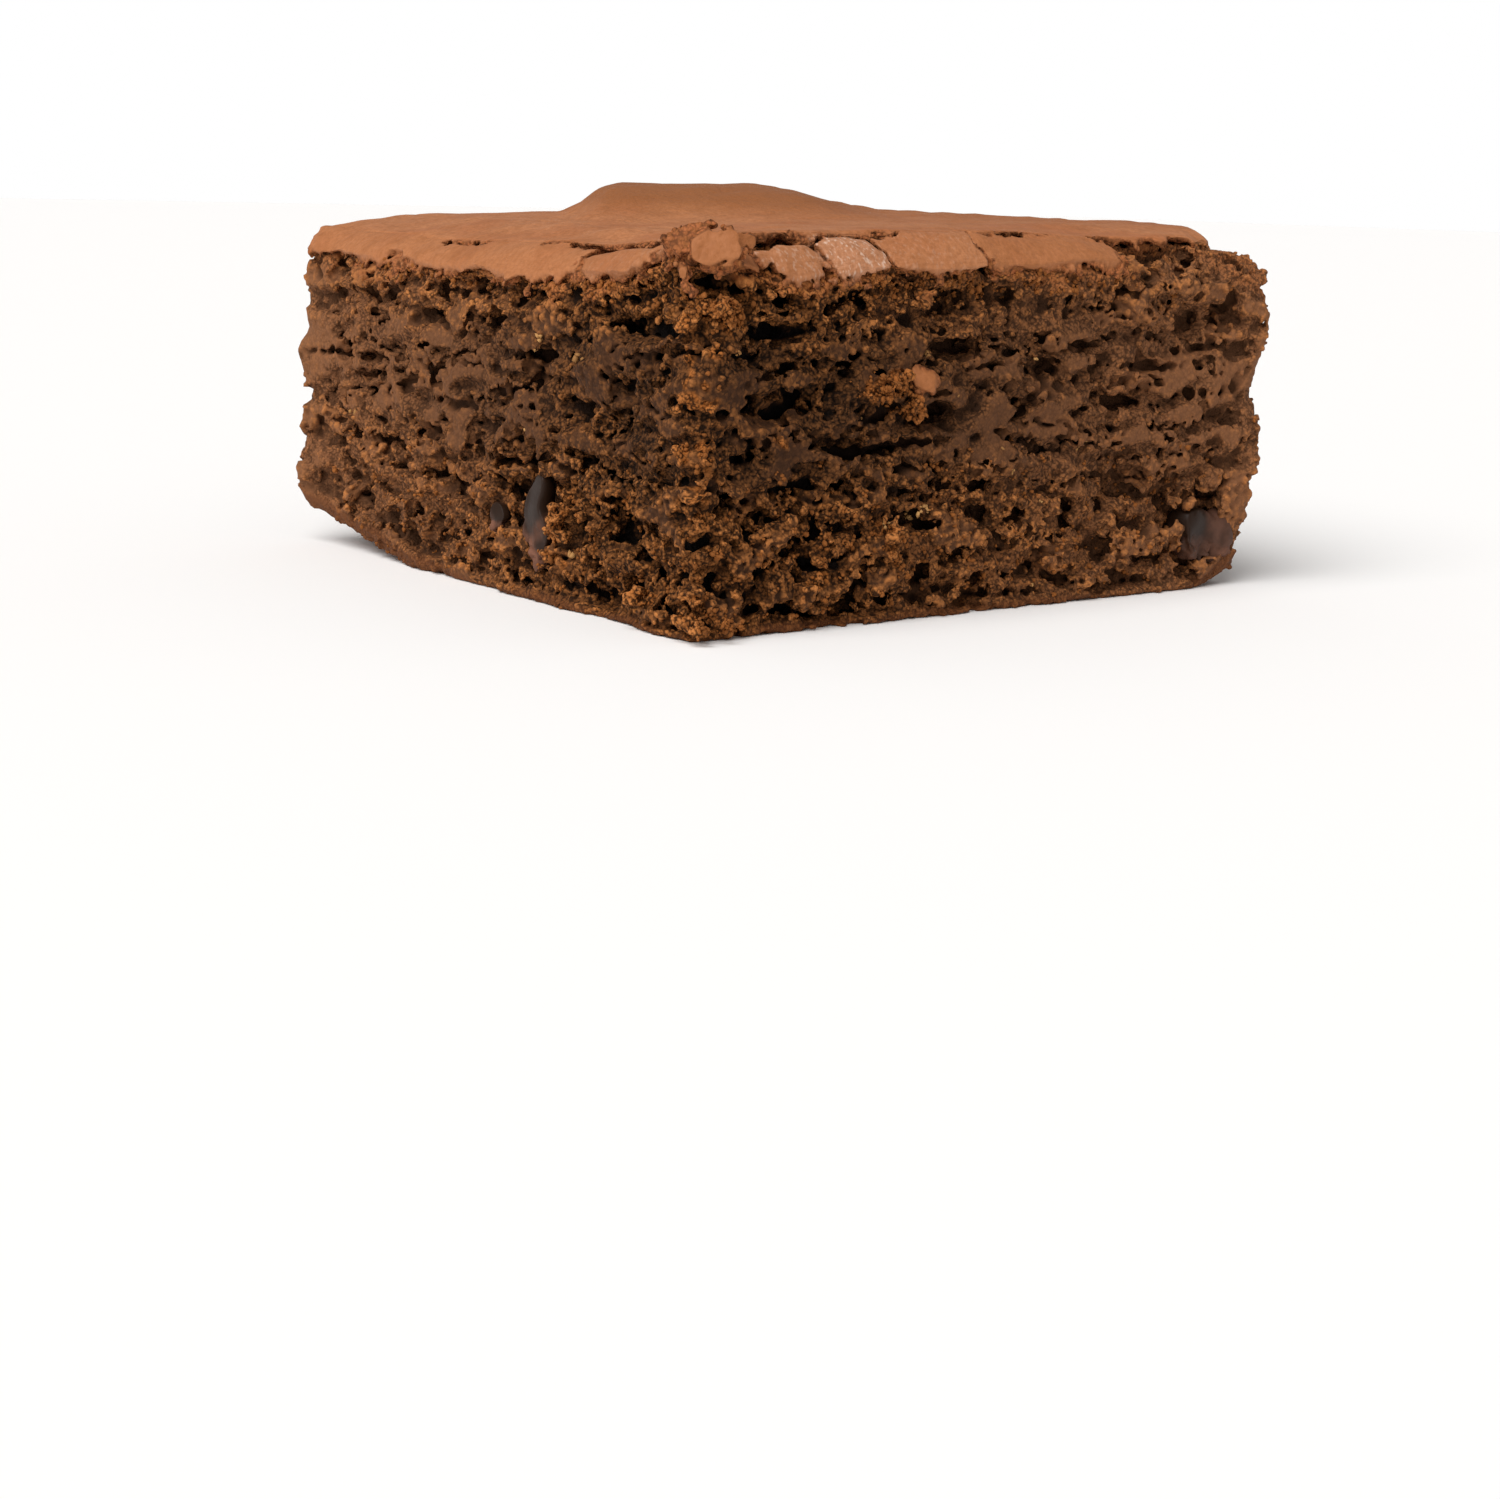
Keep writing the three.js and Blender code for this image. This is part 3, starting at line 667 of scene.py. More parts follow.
def grain_balls(slab, field, density, seed, lean):
    """Adds crumb grains to a torn surface, in place, and returns a random tint for each grain's cells."""
    rng = np.random.default_rng(seed)
    chance = density * (slab.step / 0.2) ** 3 * 0.04
    ready = (field > -0.2) & (field < 0.03) & (rng.random(slab.shape, dtype=np.float32) < chance)
    picks = np.argwhere(ready)
    radii = rng.uniform(*GRAIN_RADIUS, len(picks)) * (1 + 0.6 * rng.random(len(picks)) ** 4)
    tints = rng.random(len(picks))
    tint = np.zeros(slab.shape, np.float32)
    for (i, j, k), radius, shade in zip(picks, radii, tints):
        reach = int(radius / slab.step) + 2
        a, b, c = max(i - reach, 0), max(j - reach, 0), max(k - reach, 0)
        spans = (slice(a, i + reach + 1), slice(b, j + reach + 1), slice(c, k + reach + 1))
        away = np.sqrt(
            (slab.axes[0][spans[0]] - slab.axes[0][i])[:, None, None] ** 2
            + (slab.axes[1][spans[1]] - slab.axes[1][j])[None, :, None] ** 2
            + (slab.axes[2][spans[2]] - slab.axes[2][k])[None, None, :] ** 2
        )
        part = field[spans]
        tint[spans][away < radius + 0.15] = min(1.0, shade + lean[i, j, k])
        np.minimum(part, away - radius, out=part)
    return tint


def crumb_field(slab, bar, crust, holes, seed):
    """The torn crumb, negative inside and positive in air, and marks on its cells for the finish."""
    u, z, front, left = slab.u, slab.z, slab.front, slab.left
    above = z - base_height(slab)
    top = bar.height(slab)
    distance = bar.distance(slab)
    depth = np.clip(-distance, 0, 5)
    first = np.minimum(front, slab.back)
    second = np.minimum(left, slab.right)

    # Where the crumb is loose: low down, in a band under the crust and along the near corner
    low = 1 - ramp(above, *LOW_CRUMB)
    band = ramp(z - top, *TOP_BAND)
    edge = np.exp(-(((front + left) / EDGE_CRUMB) ** 2))
    loose = np.clip(low + 0.85 * band + 0.4 * edge, 0, 1)
    corner = np.exp(-(((first + second) / 4.0) ** 2)) * (1 - 0.5 * edge)
    skin = 1 - ramp(above + 0.25 * noise(slab, 342, 2.0), 0.4, 1.2)
    under_crust = ramp(crust, -1.6, -0.2)

    # The torn surface steps in and out in patches, and swells at the right corner
    swell = ramp(u, 29.0, 33.0) * ramp(z, 31.0, 35.0) * (1 - ramp(front, 8.0, 12.0))
    field = distance - swell + 0.16 * noise(slab, 331, 2.8) * ramp(above, 0.2, 1.5)
    patches = noise(slab, 332, (2.4, 2.4, 1.1)) + 0.3 * noise(slab, 336, 0.8)
    patches = patches + 0.9 * loose - 0.1 - 0.8 * corner
    step_in = 0.5 * ramp(patches, -0.1, 0.35) + 0.4 * np.clip(patches, 0, 2.5)
    field = field + step_in * ramp(above, 0.3, 1.6) * (1 - 0.75 * under_crust)

    # Foam of small holes, flat gaps, then the named and scattered hollows
    fine = 0.5 * noise(slab, 337, 0.6)
    closing = 0.45 * np.maximum(0, depth - 0.8) + 1.2 * corner + 1.2 * under_crust + 2.0 * skin
    foam = noise(slab, 333, (1.4, 1.4, 1.05)) + fine
    field = np.maximum(field, 0.6 * (foam - (2.0 - 2.1 * loose - 0.2 * low + closing)))
    gaps = noise(slab, 338, (3.2, 3.2, 0.95)) + fine
    middle = ramp(above, 6.0, 12.0) * (1 - band)
    field = np.maximum(field, 0.5 * (gaps - (2.6 - 1.9 * middle + closing)))
    places = bent_places(slab)
    hollows = carve(slab, places, holes) - 1.2 * skin - 1.4 * corner
    field = np.maximum(field, np.minimum(hollows, 0.7 * (3.6 - depth)))

    # A closed core, so that no hole goes right through
    from_corner = np.maximum(ramp(first + second, 5.0, 13.0), ramp(edge, 0.0, 0.3))
    thin = 0.8 * np.maximum(ramp(first + second, 1.5, 4.0), ramp(edge, 0.0, 0.3))
    field = np.minimum(field, distance + 0.5 + thin + 2.2 * from_corner)
    inside = np.maximum(z - BACKING_TOP, 1.0 - above)
    field = np.minimum(field, np.maximum(BACKING - np.minimum(first, second), inside))
    calm = [0.65 * s + 0.35 * p for s, p in zip((slab.u, slab.v, z), places)]
    field = np.maximum(field, carve(slab, calm, CORNER_HOLLOWS))

    # The gap in the crust of the front edge, with its wall of crumb, and the cracks
    over_floor = z - GAP_FLOOR - 0.1 * front + 0.5 * noise(slab, 334, 1.2)
    recess = np.minimum(missing_strip(slab, GAP_DEPTH) + 0.3, over_floor)
    field = np.maximum(field, np.minimum(recess, 0.7 * (GAP_END - u)))
    behind = np.maximum(WALL_INSIDE[0] - front, front - WALL_INSIDE[1])
    behind = np.maximum(behind, np.maximum(z - WALL_HEIGHTS[1], WALL_HEIGHTS[0] - z))
    field = np.minimum(field, np.maximum(np.maximum(behind, WALL_START - u), distance + 1.2))
    cracked = cracks(slab) + 0.7 - 0.3 * np.maximum(0, CRUST_TOP - 1.5 - z)
    field = np.maximum(field, np.where(z > CRUST_TOP - 5, cracked, -1))

    clumps = carve(slab, places, CLUMPS)
    field = np.minimum(field, -clumps)
    golden = ramp(clumps, -0.5, -0.1)

    # Where the crumb ends: under the crust, or bare and uneven at the right and near corners
    uneven = 0.3 * noise(slab, 344, 1.2)
    bare_end = z - BARE_END_TOP - 1.4 * ramp(shoulder(slab), 0.95, 1.15) + uneven
    bare_corner = z - BARE_CORNER_TOP - 0.8 * np.maximum(0, np.maximum(front, left) - 6) + uneven
    bare = np.where(u > BARE_END, bare_end, np.where(u < BARE_CORNER, bare_corner, -1))
    limit = np.maximum(np.maximum(crust + 0.1, -z), bare)
    field = np.maximum(field, limit)

    # Grains on the torn surface, and its finest relief
    crumbly = np.clip(0.04 + 0.9 * loose + 0.45 * ramp(patches, 0, 0.6) + golden - skin, 0, 1)
    lean = slab.filled(0.2 * band + 0.6 * golden)
    tint = grain_balls(slab, field, crumbly * (limit < -0.3), seed, lean)
    crease = 1 - np.clip(np.abs(noise(slab, 343, (1.0, 1.0, 0.7))) / 0.35, 0, 1)
    field = field + (0.04 + 0.09 * crumbly) * noise(slab, 335, 0.4) + (0.06 + 0.14 * crumbly) * crease
    spread = noise(slab, 339, 4.5)
    bare_top = 0.8 * ramp(z - top, -2.2, -0.8)
    marks = {
        "tint": tint,
        "smooth": np.clip(-1.5 * patches, 0, 1) * (1 - golden),
        "dry": np.clip(0.15 + 0.85 * loose + 0.18 * spread, 0, 1),
        "golden": golden,
        "under": np.maximum(ramp(crust + 0.3 * noise(slab, 340, 1.0), -1.7, -0.3), bare_top),
        "base": 1 - ramp(above + 0.25 * spread, 0.2, 0.9),
        # Painted shade: drawn darker the deeper the crumb lies below the bar's surface, less in the front gap
        "depth": ramp(-distance, 1.3, 3.6) * (1 - 0.2 * ramp(recess, -1.2, -0.2)),
    }
    return np.maximum(field, limit), marks


def field_mesh(name, slab, field, target):
    """A mesh of the zero surface of a field, in metres, thinned to a number of triangles."""
    band = 3 * slab.step
    grid = openvdb.FloatGrid(band)
    grid.copyFromArray(np.clip(field, -band, band), ijk=tuple(int(v) for v in slab.start))
    grid.transform = openvdb.createLinearTransform(voxelSize=slab.step)
    points, _, quads = grid.convertToPolygons(isovalue=0.0, adaptivity=0.0)
    points, quads = largest_bodies(points, quads)
    mesh = bpy.data.meshes.new(name)
    mesh.from_pydata(points * MM, [], quads)
    piece = bpy.data.objects.new(name, mesh)
    bpy.context.scene.collection.objects.link(piece)
    ratio = target / (2 * len(quads))
    if ratio < 1:
        thin = piece.modifiers.new("Thin", "DECIMATE")
        thin.ratio = ratio
        evaluated = piece.evaluated_get(bpy.context.evaluated_depsgraph_get())
        thinned = bpy.data.meshes.new_from_object(evaluated)
        piece.modifiers.clear()
        piece.data = thinned
        bpy.data.meshes.remove(mesh)
        thinned.name = name
    piece.data.shade_smooth()
    return piece


def largest_bodies(points, quads, least=400):
    """The points and faces of every connected body with at least some faces."""
    label = np.arange(len(points))
    a = quads.ravel()
    b = np.roll(quads, 1, axis=1).ravel()
    while True:
        low = np.minimum(label[a], label[b])
        following = label.copy()
        np.minimum.at(following, a, low)
        np.minimum.at(following, b, low)
        following = following[following]
        if np.array_equal(following, label):
            break
        label = following
    face_label = label[quads[:, 0]]
    names, counts = np.unique(face_label, return_counts=True)
    kept = np.isin(face_label, names[counts >= least])
    quads = quads[kept]
    used = np.unique(quads)
    renumbered = np.zeros(len(points), int)
    renumbered[used] = np.arange(len(used))
    return points[used], renumbered[quads]


def sampled(slab, values, places, nearest=False):
    """Values of a field at some places, in between the cells."""
    spot = (places - slab.start * slab.step) / slab.step
    spot = np.clip(spot, 0, np.array(slab.shape) - 1.001)
    if nearest:
        i, j, k = np.round(spot).astype(int).T
        return values[i, j, k]
    whole = spot.astype(int)
    f = spot - whole
    total = 0
    for i in (0, 1):
        for j in (0, 1):
            for k in (0, 1):
                share = np.abs(1 - i - f[:, 0]) * np.abs(1 - j - f[:, 1]) * np.abs(1 - k - f[:, 2])
                total = total + share * values[whole[:, 0] + i, whole[:, 1] + j, whole[:, 2] + k]
    return total


def vertex_places(mesh):
    """The places of a mesh's corners, in millimetres."""
    flat = np.empty(len(mesh.vertices) * 3, np.float32)
    mesh.vertices.foreach_get("co", flat)
    return flat.reshape(-1, 3) / MM


def store(mesh, name, values):
    """Keeps one value for each corner of a mesh, for its material."""
    attribute = mesh.attributes.new(name, "FLOAT", "POINT")
    attribute.data.foreach_set("value", np.asarray(values, np.float32))


def relief(slab, field):
    """How full the surroundings of each cell are, close by and farther off."""
    filled = np.clip(0.5 - field / (2 * slab.step), 0, 1).astype(np.float32)
    return [box_blur(filled, max(1, round(reach / slab.step))) for reach in (0.4, 1.1)]


def store_marks(piece, slab, surroundings, marks):
    """Stores how far each vertex stands out and how deep it lies in a hollow, for painted highlight and
    shade, and its cells' marks.
    """
    mesh = piece.data
    places = vertex_places(mesh)
    near, wide = surroundings
    store(mesh, "tip", np.clip(0.5 + 1.6 * (0.5 - sampled(slab, near, places)), 0, 1))
    store(mesh, "hollow", np.clip(0.5 + 1.4 * (sampled(slab, wide, places) - 0.5), 0, 1))
    for mark, values in marks.items():
        store(mesh, mark, sampled(slab, values, places, nearest=mark == "tint"))


# Materials

# Sizes of the patterns, in millimetres: grains of the crumb and of the broken crust, streaks, brown spots,
# wrinkles, dust and glints of the crust, and bloom and scratches of the chocolate. Real dust and glints
# are finer, and are drawn this coarse so that they show
CRUMB_GRAIN = 0.36
CRUST_GRAIN = 0.38
STREAK = 9.09
SPOT = 2.083
WRINKLE = 1.25
DUST = 0.5263
GLINT = 0.3846
BLOOM = 3.125
SCRATCH = 1.111


def add_node(tree, kind, **values):
    """Adds a shader node. Lower-case names set its own fields, capitalised ones and i0, i1 ... its inputs.

    An input takes a value, or a (node, output) pair to link.
    """
    node = tree.nodes.new("ShaderNode" + kind)
    for key, value in values.items():
        if key[0] == "i" and key[1:].isdigit():
            socket = node.inputs[int(key[1:])]
        elif key[0].isupper():
            socket = node.inputs[key.replace("_", " ")]
        else:
            setattr(node, key, value)
            continue
        if isinstance(value, tuple) and isinstance(value[0], bpy.types.Node):
            tree.links.new(value[0].outputs[value[1]], socket)
        else:
            socket.default_value = value
    return node


def blank_material(name):
    """A new material without nodes, and its node tree."""
    material = bpy.data.materials.new(name)
    material.use_nodes = True
    material.node_tree.nodes.clear()
    return material, material.node_tree


def grain_pattern(tree, place, size_mm):
    """Grains of about one size, bent and broken up by noise: their height and their colours."""
    size = size_mm * MM
    wobble = add_node(tree, "TexNoise", Vector=place, Scale=0.8 / size, Detail=0.0)
    bent = add_node(
        tree, "VectorMath", operation="MULTIPLY_ADD", i0=(wobble, "Color"), i1=(0.9 * size,) * 3, i2=place
    )
    grains = add_node(tree, "TexVoronoi", Vector=(bent, 0), Scale=1 / size)
    uneven = add_node(tree, "TexNoise", Vector=place, Scale=0.55 / size, Detail=3.0)
    height = add_node(
        tree, "Math", operation="MULTIPLY_ADD", i0=(uneven, "Fac"), i1=1.1, i2=(grains, "Distance")
    )
    return (height, 0), (grains, "Color")


def crumb_material(settings):
    """Chocolate cake crumb: dull, dark, grainy, with painted highlights on tips and painted shade in gaps."""
    material, tree = blank_material("Chocolate cake crumb")
    place = (add_node(tree, "TexCoord"), "Object")
    marks = {
        name: (add_node(tree, "Attribute", attribute_name=name), "Fac")
        for name in ("tip", "hollow", "smooth", "tint", "dry", "golden", "under", "depth", "base")
    }
    uneven, grains = grain_pattern(tree, place, CRUMB_GRAIN)

    # Smooth patches hardly show their grains
    rough = add_node(tree, "MapRange", i0=marks["smooth"], i3=1.0, i4=0.3)

    # Painted haze: towards the far corners the crumb is drawn paler, and its painted shade lighter too
    axes = add_node(tree, "SeparateXYZ", Vector=place)
    across = add_node(tree, "Math", operation="ADD", i0=(axes, "X"), i1=(axes, "Y"))
    far = add_node(tree, "MapRange", i0=(across, 0), i1=-58 * MM, i2=-2 * MM, i3=0.0, i4=0.75)
    haze_over_painted_shade = add_node(tree, "Math", operation="MULTIPLY", i0=(far, 0), i1=0.45)

    # Painted highlight: raised tips are drawn lighter in a toast colour, more on dry crumb, each grain a
    # little more or less than the next
    own = add_node(tree, "SeparateColor", Color=grains)
    lean = add_node(tree, "Math", operation="MULTIPLY_ADD", i0=marks["tint"], i1=0.8, i2=(own, 0))
    raised = add_node(tree, "MapRange", i0=marks["tip"], i1=0.42, i2=0.8)
    orange = add_node(tree, "MapRange", i0=(lean, 0), i1=0.2, i2=1.2)
    lightened = add_node(tree, "Math", operation="MULTIPLY", i0=(orange, 0), i1=(raised, 0))
    where_dry = add_node(tree, "MapRange", i0=marks["dry"], i3=0.35, i4=1.0)
    painted_tip_light = add_node(tree, "Math", operation="MULTIPLY", i0=(lightened, 0), i1=(where_dry, 0))

    # Painted shade: nearly black between the grains and deep in the holes, and darker the deeper the crumb
    # lies below the bar's surface
    gap = add_node(tree, "MapRange", i0=uneven, i1=0.88, i2=1.3, i3=0.0, i4=0.9)
    between = add_node(tree, "Math", operation="MULTIPLY", i0=(gap, 0), i1=(rough, 0))
    enclosed = add_node(tree, "MapRange", i0=marks["hollow"], i1=0.48, i2=0.7)
    deep = add_node(tree, "Math", operation="MAXIMUM", i0=(enclosed, 0), i1=marks["depth"])
    low = add_node(tree, "MapRange", i0=marks["base"], i3=0.0, i4=0.65)

    shade = settings.moist
    for share, layer in (
        (marks["dry"], settings.crumb),
        (marks["smooth"], settings.fudge),
        (marks["golden"], settings.golden),
        ((far, 0), settings.painted_haze),
        (marks["under"], settings.under),
        ((painted_tip_light, 0), settings.painted_tip_light),
        ((between, 0), settings.painted_pit_shade),
        ((deep, 0), settings.painted_pit_shade),
        ((haze_over_painted_shade, 0), settings.painted_haze),
        ((low, 0), settings.base),
    ):
        shade = (add_node(tree, "Mix", data_type="RGBA", i0=share, i6=shade, i7=layer), 2)

    height = add_node(tree, "Math", operation="MULTIPLY", i0=uneven, i1=(rough, 0))
    bump = add_node(tree, "Bump", invert=True, Strength=0.8, Distance=0.25 * MM, Height=(height, 0))
    shader = add_node(
        tree, "BsdfPrincipled", Base_Color=shade, Roughness=0.8, Specular_IOR_Level=0.1, Normal=(bump, 0)
    )
    add_node(tree, "OutputMaterial", Surface=(shader, 0))
    return material


def crust_material(settings):
    """Baked crust: a thin dull skin with paler streaks and a grainy, darker broken edge, with painted shade
    and sheen.
    """
    material, tree = blank_material("Baked brownie crust")
    place = (add_node(tree, "TexCoord"), "Object")
    broken, tone, shine, hollow = (
        (add_node(tree, "Attribute", attribute_name=name), "Fac")
        for name in ("broken", "tone", "shine", "hollow")
    )
    uneven, grains = grain_pattern(tree, place, CRUST_GRAIN)

    # Paler streaks, more of them towards the left corner, and the plates' own tone, with painted shade
    # that draws the raised blister browner
    axes = add_node(tree, "SeparateXYZ", Vector=place)
    across = add_node(tree, "Math", operation="SUBTRACT", i0=(axes, "Y"), i1=(axes, "X"))
    side = add_node(tree, "MapRange", i0=(across, 0), i1=-20 * MM, i2=50 * MM, i3=0.5, i4=0.75)
    streaks = add_node(tree, "TexNoise", Vector=place, Scale=1 / (STREAK * MM), Detail=6.0)
    streak = add_node(tree, "MapRange", i0=(streaks, "Fac"), i1=0.35, i2=0.65, i3=-0.15, i4=0.65)
    pale = add_node(tree, "Math", operation="ADD", i0=(side, 0), i1=(streak, 0))
    raised = add_node(tree, "MapRange", i0=(axes, "Z"), i1=38.3 * MM, i2=40.4 * MM, i3=0.0, i4=0.85)
    plate_tone_and_blister_shade = add_node(tree, "Math", operation="ADD", i0=(raised, 0), i1=tone)

    # Fine dust, brown spots, a paler painted sheen on the shining plates, and small upright painted glints
    shining = add_node(tree, "Math", operation="MULTIPLY", i0=shine, i1=0.6)
    dust = add_node(tree, "TexNoise", Vector=place, Scale=1 / (DUST * MM), Detail=3.0)
    dusty = add_node(tree, "MapRange", i0=(dust, "Fac"), i1=0.35, i2=0.7, i3=0.0, i4=0.5)
    spots = add_node(tree, "TexNoise", Vector=place, Scale=1 / (SPOT * MM), Detail=5.0)
    spot = add_node(tree, "MapRange", i0=(spots, "Fac"), i1=0.5, i2=0.7, i3=0.0, i4=0.4)
    tall = add_node(tree, "VectorMath", operation="MULTIPLY", i0=place, i1=(1.0, 1.0, 0.4))
    sparks = add_node(tree, "TexNoise", Vector=(tall, 0), Scale=1 / (GLINT * MM), Detail=1.0)
    spark = add_node(tree, "MapRange", i0=(sparks, "Fac"), i1=0.54, i2=0.72, i3=0.0, i4=0.6)
    glint = add_node(tree, "Math", operation="MULTIPLY", i0=(spark, 0), i1=shine)

    # Grains of the broken edge, with painted shade between them, in the cracks and in the hollows
    own = add_node(tree, "SeparateColor", Color=grains)
    lighter = add_node(tree, "Math", operation="MULTIPLY", i0=(own, 0), i1=broken)
    gap = add_node(tree, "MapRange", i0=uneven, i1=0.95, i2=1.4, i3=0.0, i4=0.75)
    between = add_node(tree, "Math", operation="MULTIPLY", i0=(gap, 0), i1=broken)
    deep = add_node(tree, "MapRange", i0=hollow, i1=0.55, i2=0.8)

    shade = settings.sheet
    for share, layer in (
        ((pale, 0), settings.streak),
        ((plate_tone_and_blister_shade, 0), settings.edge),
        ((shining, 0), settings.pale),
        ((dusty, 0), settings.edge),
        ((spot, 0), settings.edge),
        ((glint, 0), settings.glint),
        (broken, settings.edge),
        ((lighter, 0), settings.sheet),
        ((between, 0), settings.gap),
        ((deep, 0), settings.gap),
    ):
        shade = (add_node(tree, "Mix", data_type="RGBA", i0=share, i6=shade, i7=layer), 2)

    edge_high = add_node(tree, "Math", operation="MULTIPLY", i0=uneven, i1=broken)
    wrinkles = add_node(tree, "TexNoise", Vector=place, Scale=1 / (WRINKLE * MM), Detail=4.0)
    height = add_node(
        tree, "Math", operation="MULTIPLY_ADD", i0=(wrinkles, "Fac"), i1=-0.9, i2=(edge_high, 0)
    )
    grainy = add_node(tree, "Math", operation="MULTIPLY_ADD", i0=(dust, "Fac"), i1=-0.5, i2=(height, 0))
    bump = add_node(tree, "Bump", invert=True, Strength=0.9, Distance=0.25 * MM, Height=(grainy, 0))
    dull = add_node(tree, "MapRange", i0=broken, i3=0.6, i4=0.85)
    rough = add_node(tree, "Math", operation="MULTIPLY_ADD", i0=shine, i1=-0.24, i2=(dull, 0))
    shader = add_node(
        tree,
        "BsdfPrincipled",
        Base_Color=shade,
        Roughness=(rough, 0),
        Specular_IOR_Level=0.2,
        Normal=(bump, 0),
    )
    add_node(tree, "OutputMaterial", Surface=(shader, 0))
    return material


def chip_material(settings):
    """Dark chocolate: smooth and softly shining, with a little pale bloom and a dull pinkish break."""
    material, tree = blank_material("Dark chocolate")
    place = (add_node(tree, "TexCoord"), "Object")
    cut = (add_node(tree, "Attribute", attribute_name="cut"), "Fac")
    clouds = add_node(tree, "TexNoise", Vector=place, Scale=1 / (BLOOM * MM), Detail=4.0)
    bloom = add_node(tree, "MapRange", i0=(clouds, "Fac"), i1=0.5, i2=0.8, i3=0.0, i4=0.4)
    broken = add_node(tree, "MapRange", i0=(clouds, "Fac"), i1=0.4, i2=0.6, i3=0.3, i4=1.0)
    share_cut = add_node(tree, "Math", operation="MULTIPLY", i0=cut, i1=(broken, 0))
    shade = settings.dark
    for share in (bloom, share_cut):
        shade = (add_node(tree, "Mix", data_type="RGBA", i0=(share, 0), i6=shade, i7=settings.bloom), 2)
    dull = add_node(tree, "MapRange", i0=cut, i3=0.42, i4=0.8)
    scratches = add_node(tree, "TexNoise", Vector=place, Scale=1 / (SCRATCH * MM), Detail=3.0)
    bump = add_node(tree, "Bump", Strength=0.25, Distance=0.1 * MM, Height=(scratches, "Fac"))
    shader = add_node(
        tree,
        "BsdfPrincipled",
        Base_Color=shade,
        Roughness=(dull, 0),
        Specular_IOR_Level=0.15,
        Normal=(bump, 0),
    )
    add_node(tree, "OutputMaterial", Surface=(shader, 0))
    return material


def loose_material(name, shade, base):
    """Dry loose crumb: matt, each one a little lighter or darker than the next."""
    material, tree = blank_material(name)
    tint = add_node(tree, "Attribute", attribute_name="tint")
    share = add_node(tree, "MapRange", i0=(tint, "Fac"), i3=0.3, i4=1.0)
    varied = add_node(tree, "Mix", data_type="RGBA", i0=(share, 0), i6=base, i7=shade)
    shader = add_node(
        tree, "BsdfPrincipled", Base_Color=(varied, 2), Roughness=0.85, Specular_IOR_Level=0.1
    )
    add_node(tree, "OutputMaterial", Surface=(shader, 0))
    return material


# Operators

_bar = {}


def bar_field():
    """The bar's distance field, made once and shared by the operators."""
    if "field" not in _bar:
        _bar["field"] = BarField()
    return _bar["field"]


def place_piece(piece, material, slot, *nodes):
    """Gives a finished piece its material and its place on the bar's body, and hides what it replaces. The
    slot is not used.
    """
    piece.data.materials.append(material)
    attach(piece, BODY)
    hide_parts(*nodes)


def side_slabs(settings):
    """For each cut side: its slab of cells, its own box, and how many pieces it is meshed in."""
    step = settings.cell / MM
    coarse = HIDDEN_COARSER * step
    wall = settings.wall / MM
    low = BAR_LOW - MARGIN
    high = BAR_HIGH + MARGIN
    inner_left, inner_front, _ = BAR_LOW + wall
    inner_right, inner_back, _ = BAR_HIGH - wall
    boxes = {
        "front": (low, (high[0], inner_front, high[2]), step, 5),
        "left": (
            (low[0], inner_front - SIDE_OVERLAP, low[2]),
            (inner_left, inner_back + SIDE_OVERLAP, high[2]),
            step,
            2,
        ),
        "back": ((low[0], inner_back, low[2]), high, coarse, 1),
        "right": (
            (inner_right, inner_front - SIDE_OVERLAP, low[2]),
            (high[0], inner_back + SIDE_OVERLAP, high[2]),
            coarse,
            1,
        ),
    }
    inset = MARGIN / 2
    return {
        side: (Slab(first, last, cell), np.array(first) + inset, np.array(last) - inset, parts)
        for side, (first, last, cell, parts) in boxes.items()
    }


class BROWNIE_OT_crumb(bpy.types.Operator):
    """Carve the torn crumb of the four cut sides."""

    bl_idname = "brownie.crumb"
    bl_label = "Torn crumb"

    def execute(self, context):
        settings = context.scene.brownie_crumb
        crust_settings = context.scene.brownie_crust
        material = crumb_material(settings)
        holes = chip_pockets()
        for number, side in enumerate(("front", "left", "back", "right")):
            holes += hole_list(side, settings, HOLE_SEED + number)
        for number, (side, (slab, low, high, parts)) in enumerate(side_slabs(settings).items()):
            crust = crust_inside(slab, bar_field(), crust_settings)
            field, marks = crumb_field(slab, bar_field(), crust, holes, GRAIN_SEED + number)
            surroundings = relief(slab, field)
            field = np.maximum(field, slab.box(low, high))
            axis = 0 if side in ("front", "back") else 1
            along = (slab.x, slab.y)[axis]
            cuts = np.linspace(low[axis], high[axis], parts + 1)
            for part in range(parts):
                first = cuts[part] - (PART_REACH if part else 1)
                last = cuts[part + 1] + (PART_REACH if part + 1 < parts else 1)
                name = "crumb_" + side + ("_%d" % (part + 1) if parts > 1 else "")
                target = TORN_SIDE_PART if parts > 1 else PLAIN_SIDE
                cut_out = np.maximum(field, np.maximum(first - along, along - last))
                piece = field_mesh(name, slab, cut_out, target)
                store_marks(piece, slab, surroundings, marks)
                place_piece(piece, material, "crumb", BAR)
        place_piece(underside(settings), material, "crumb", BAR)
        return {"FINISHED"}


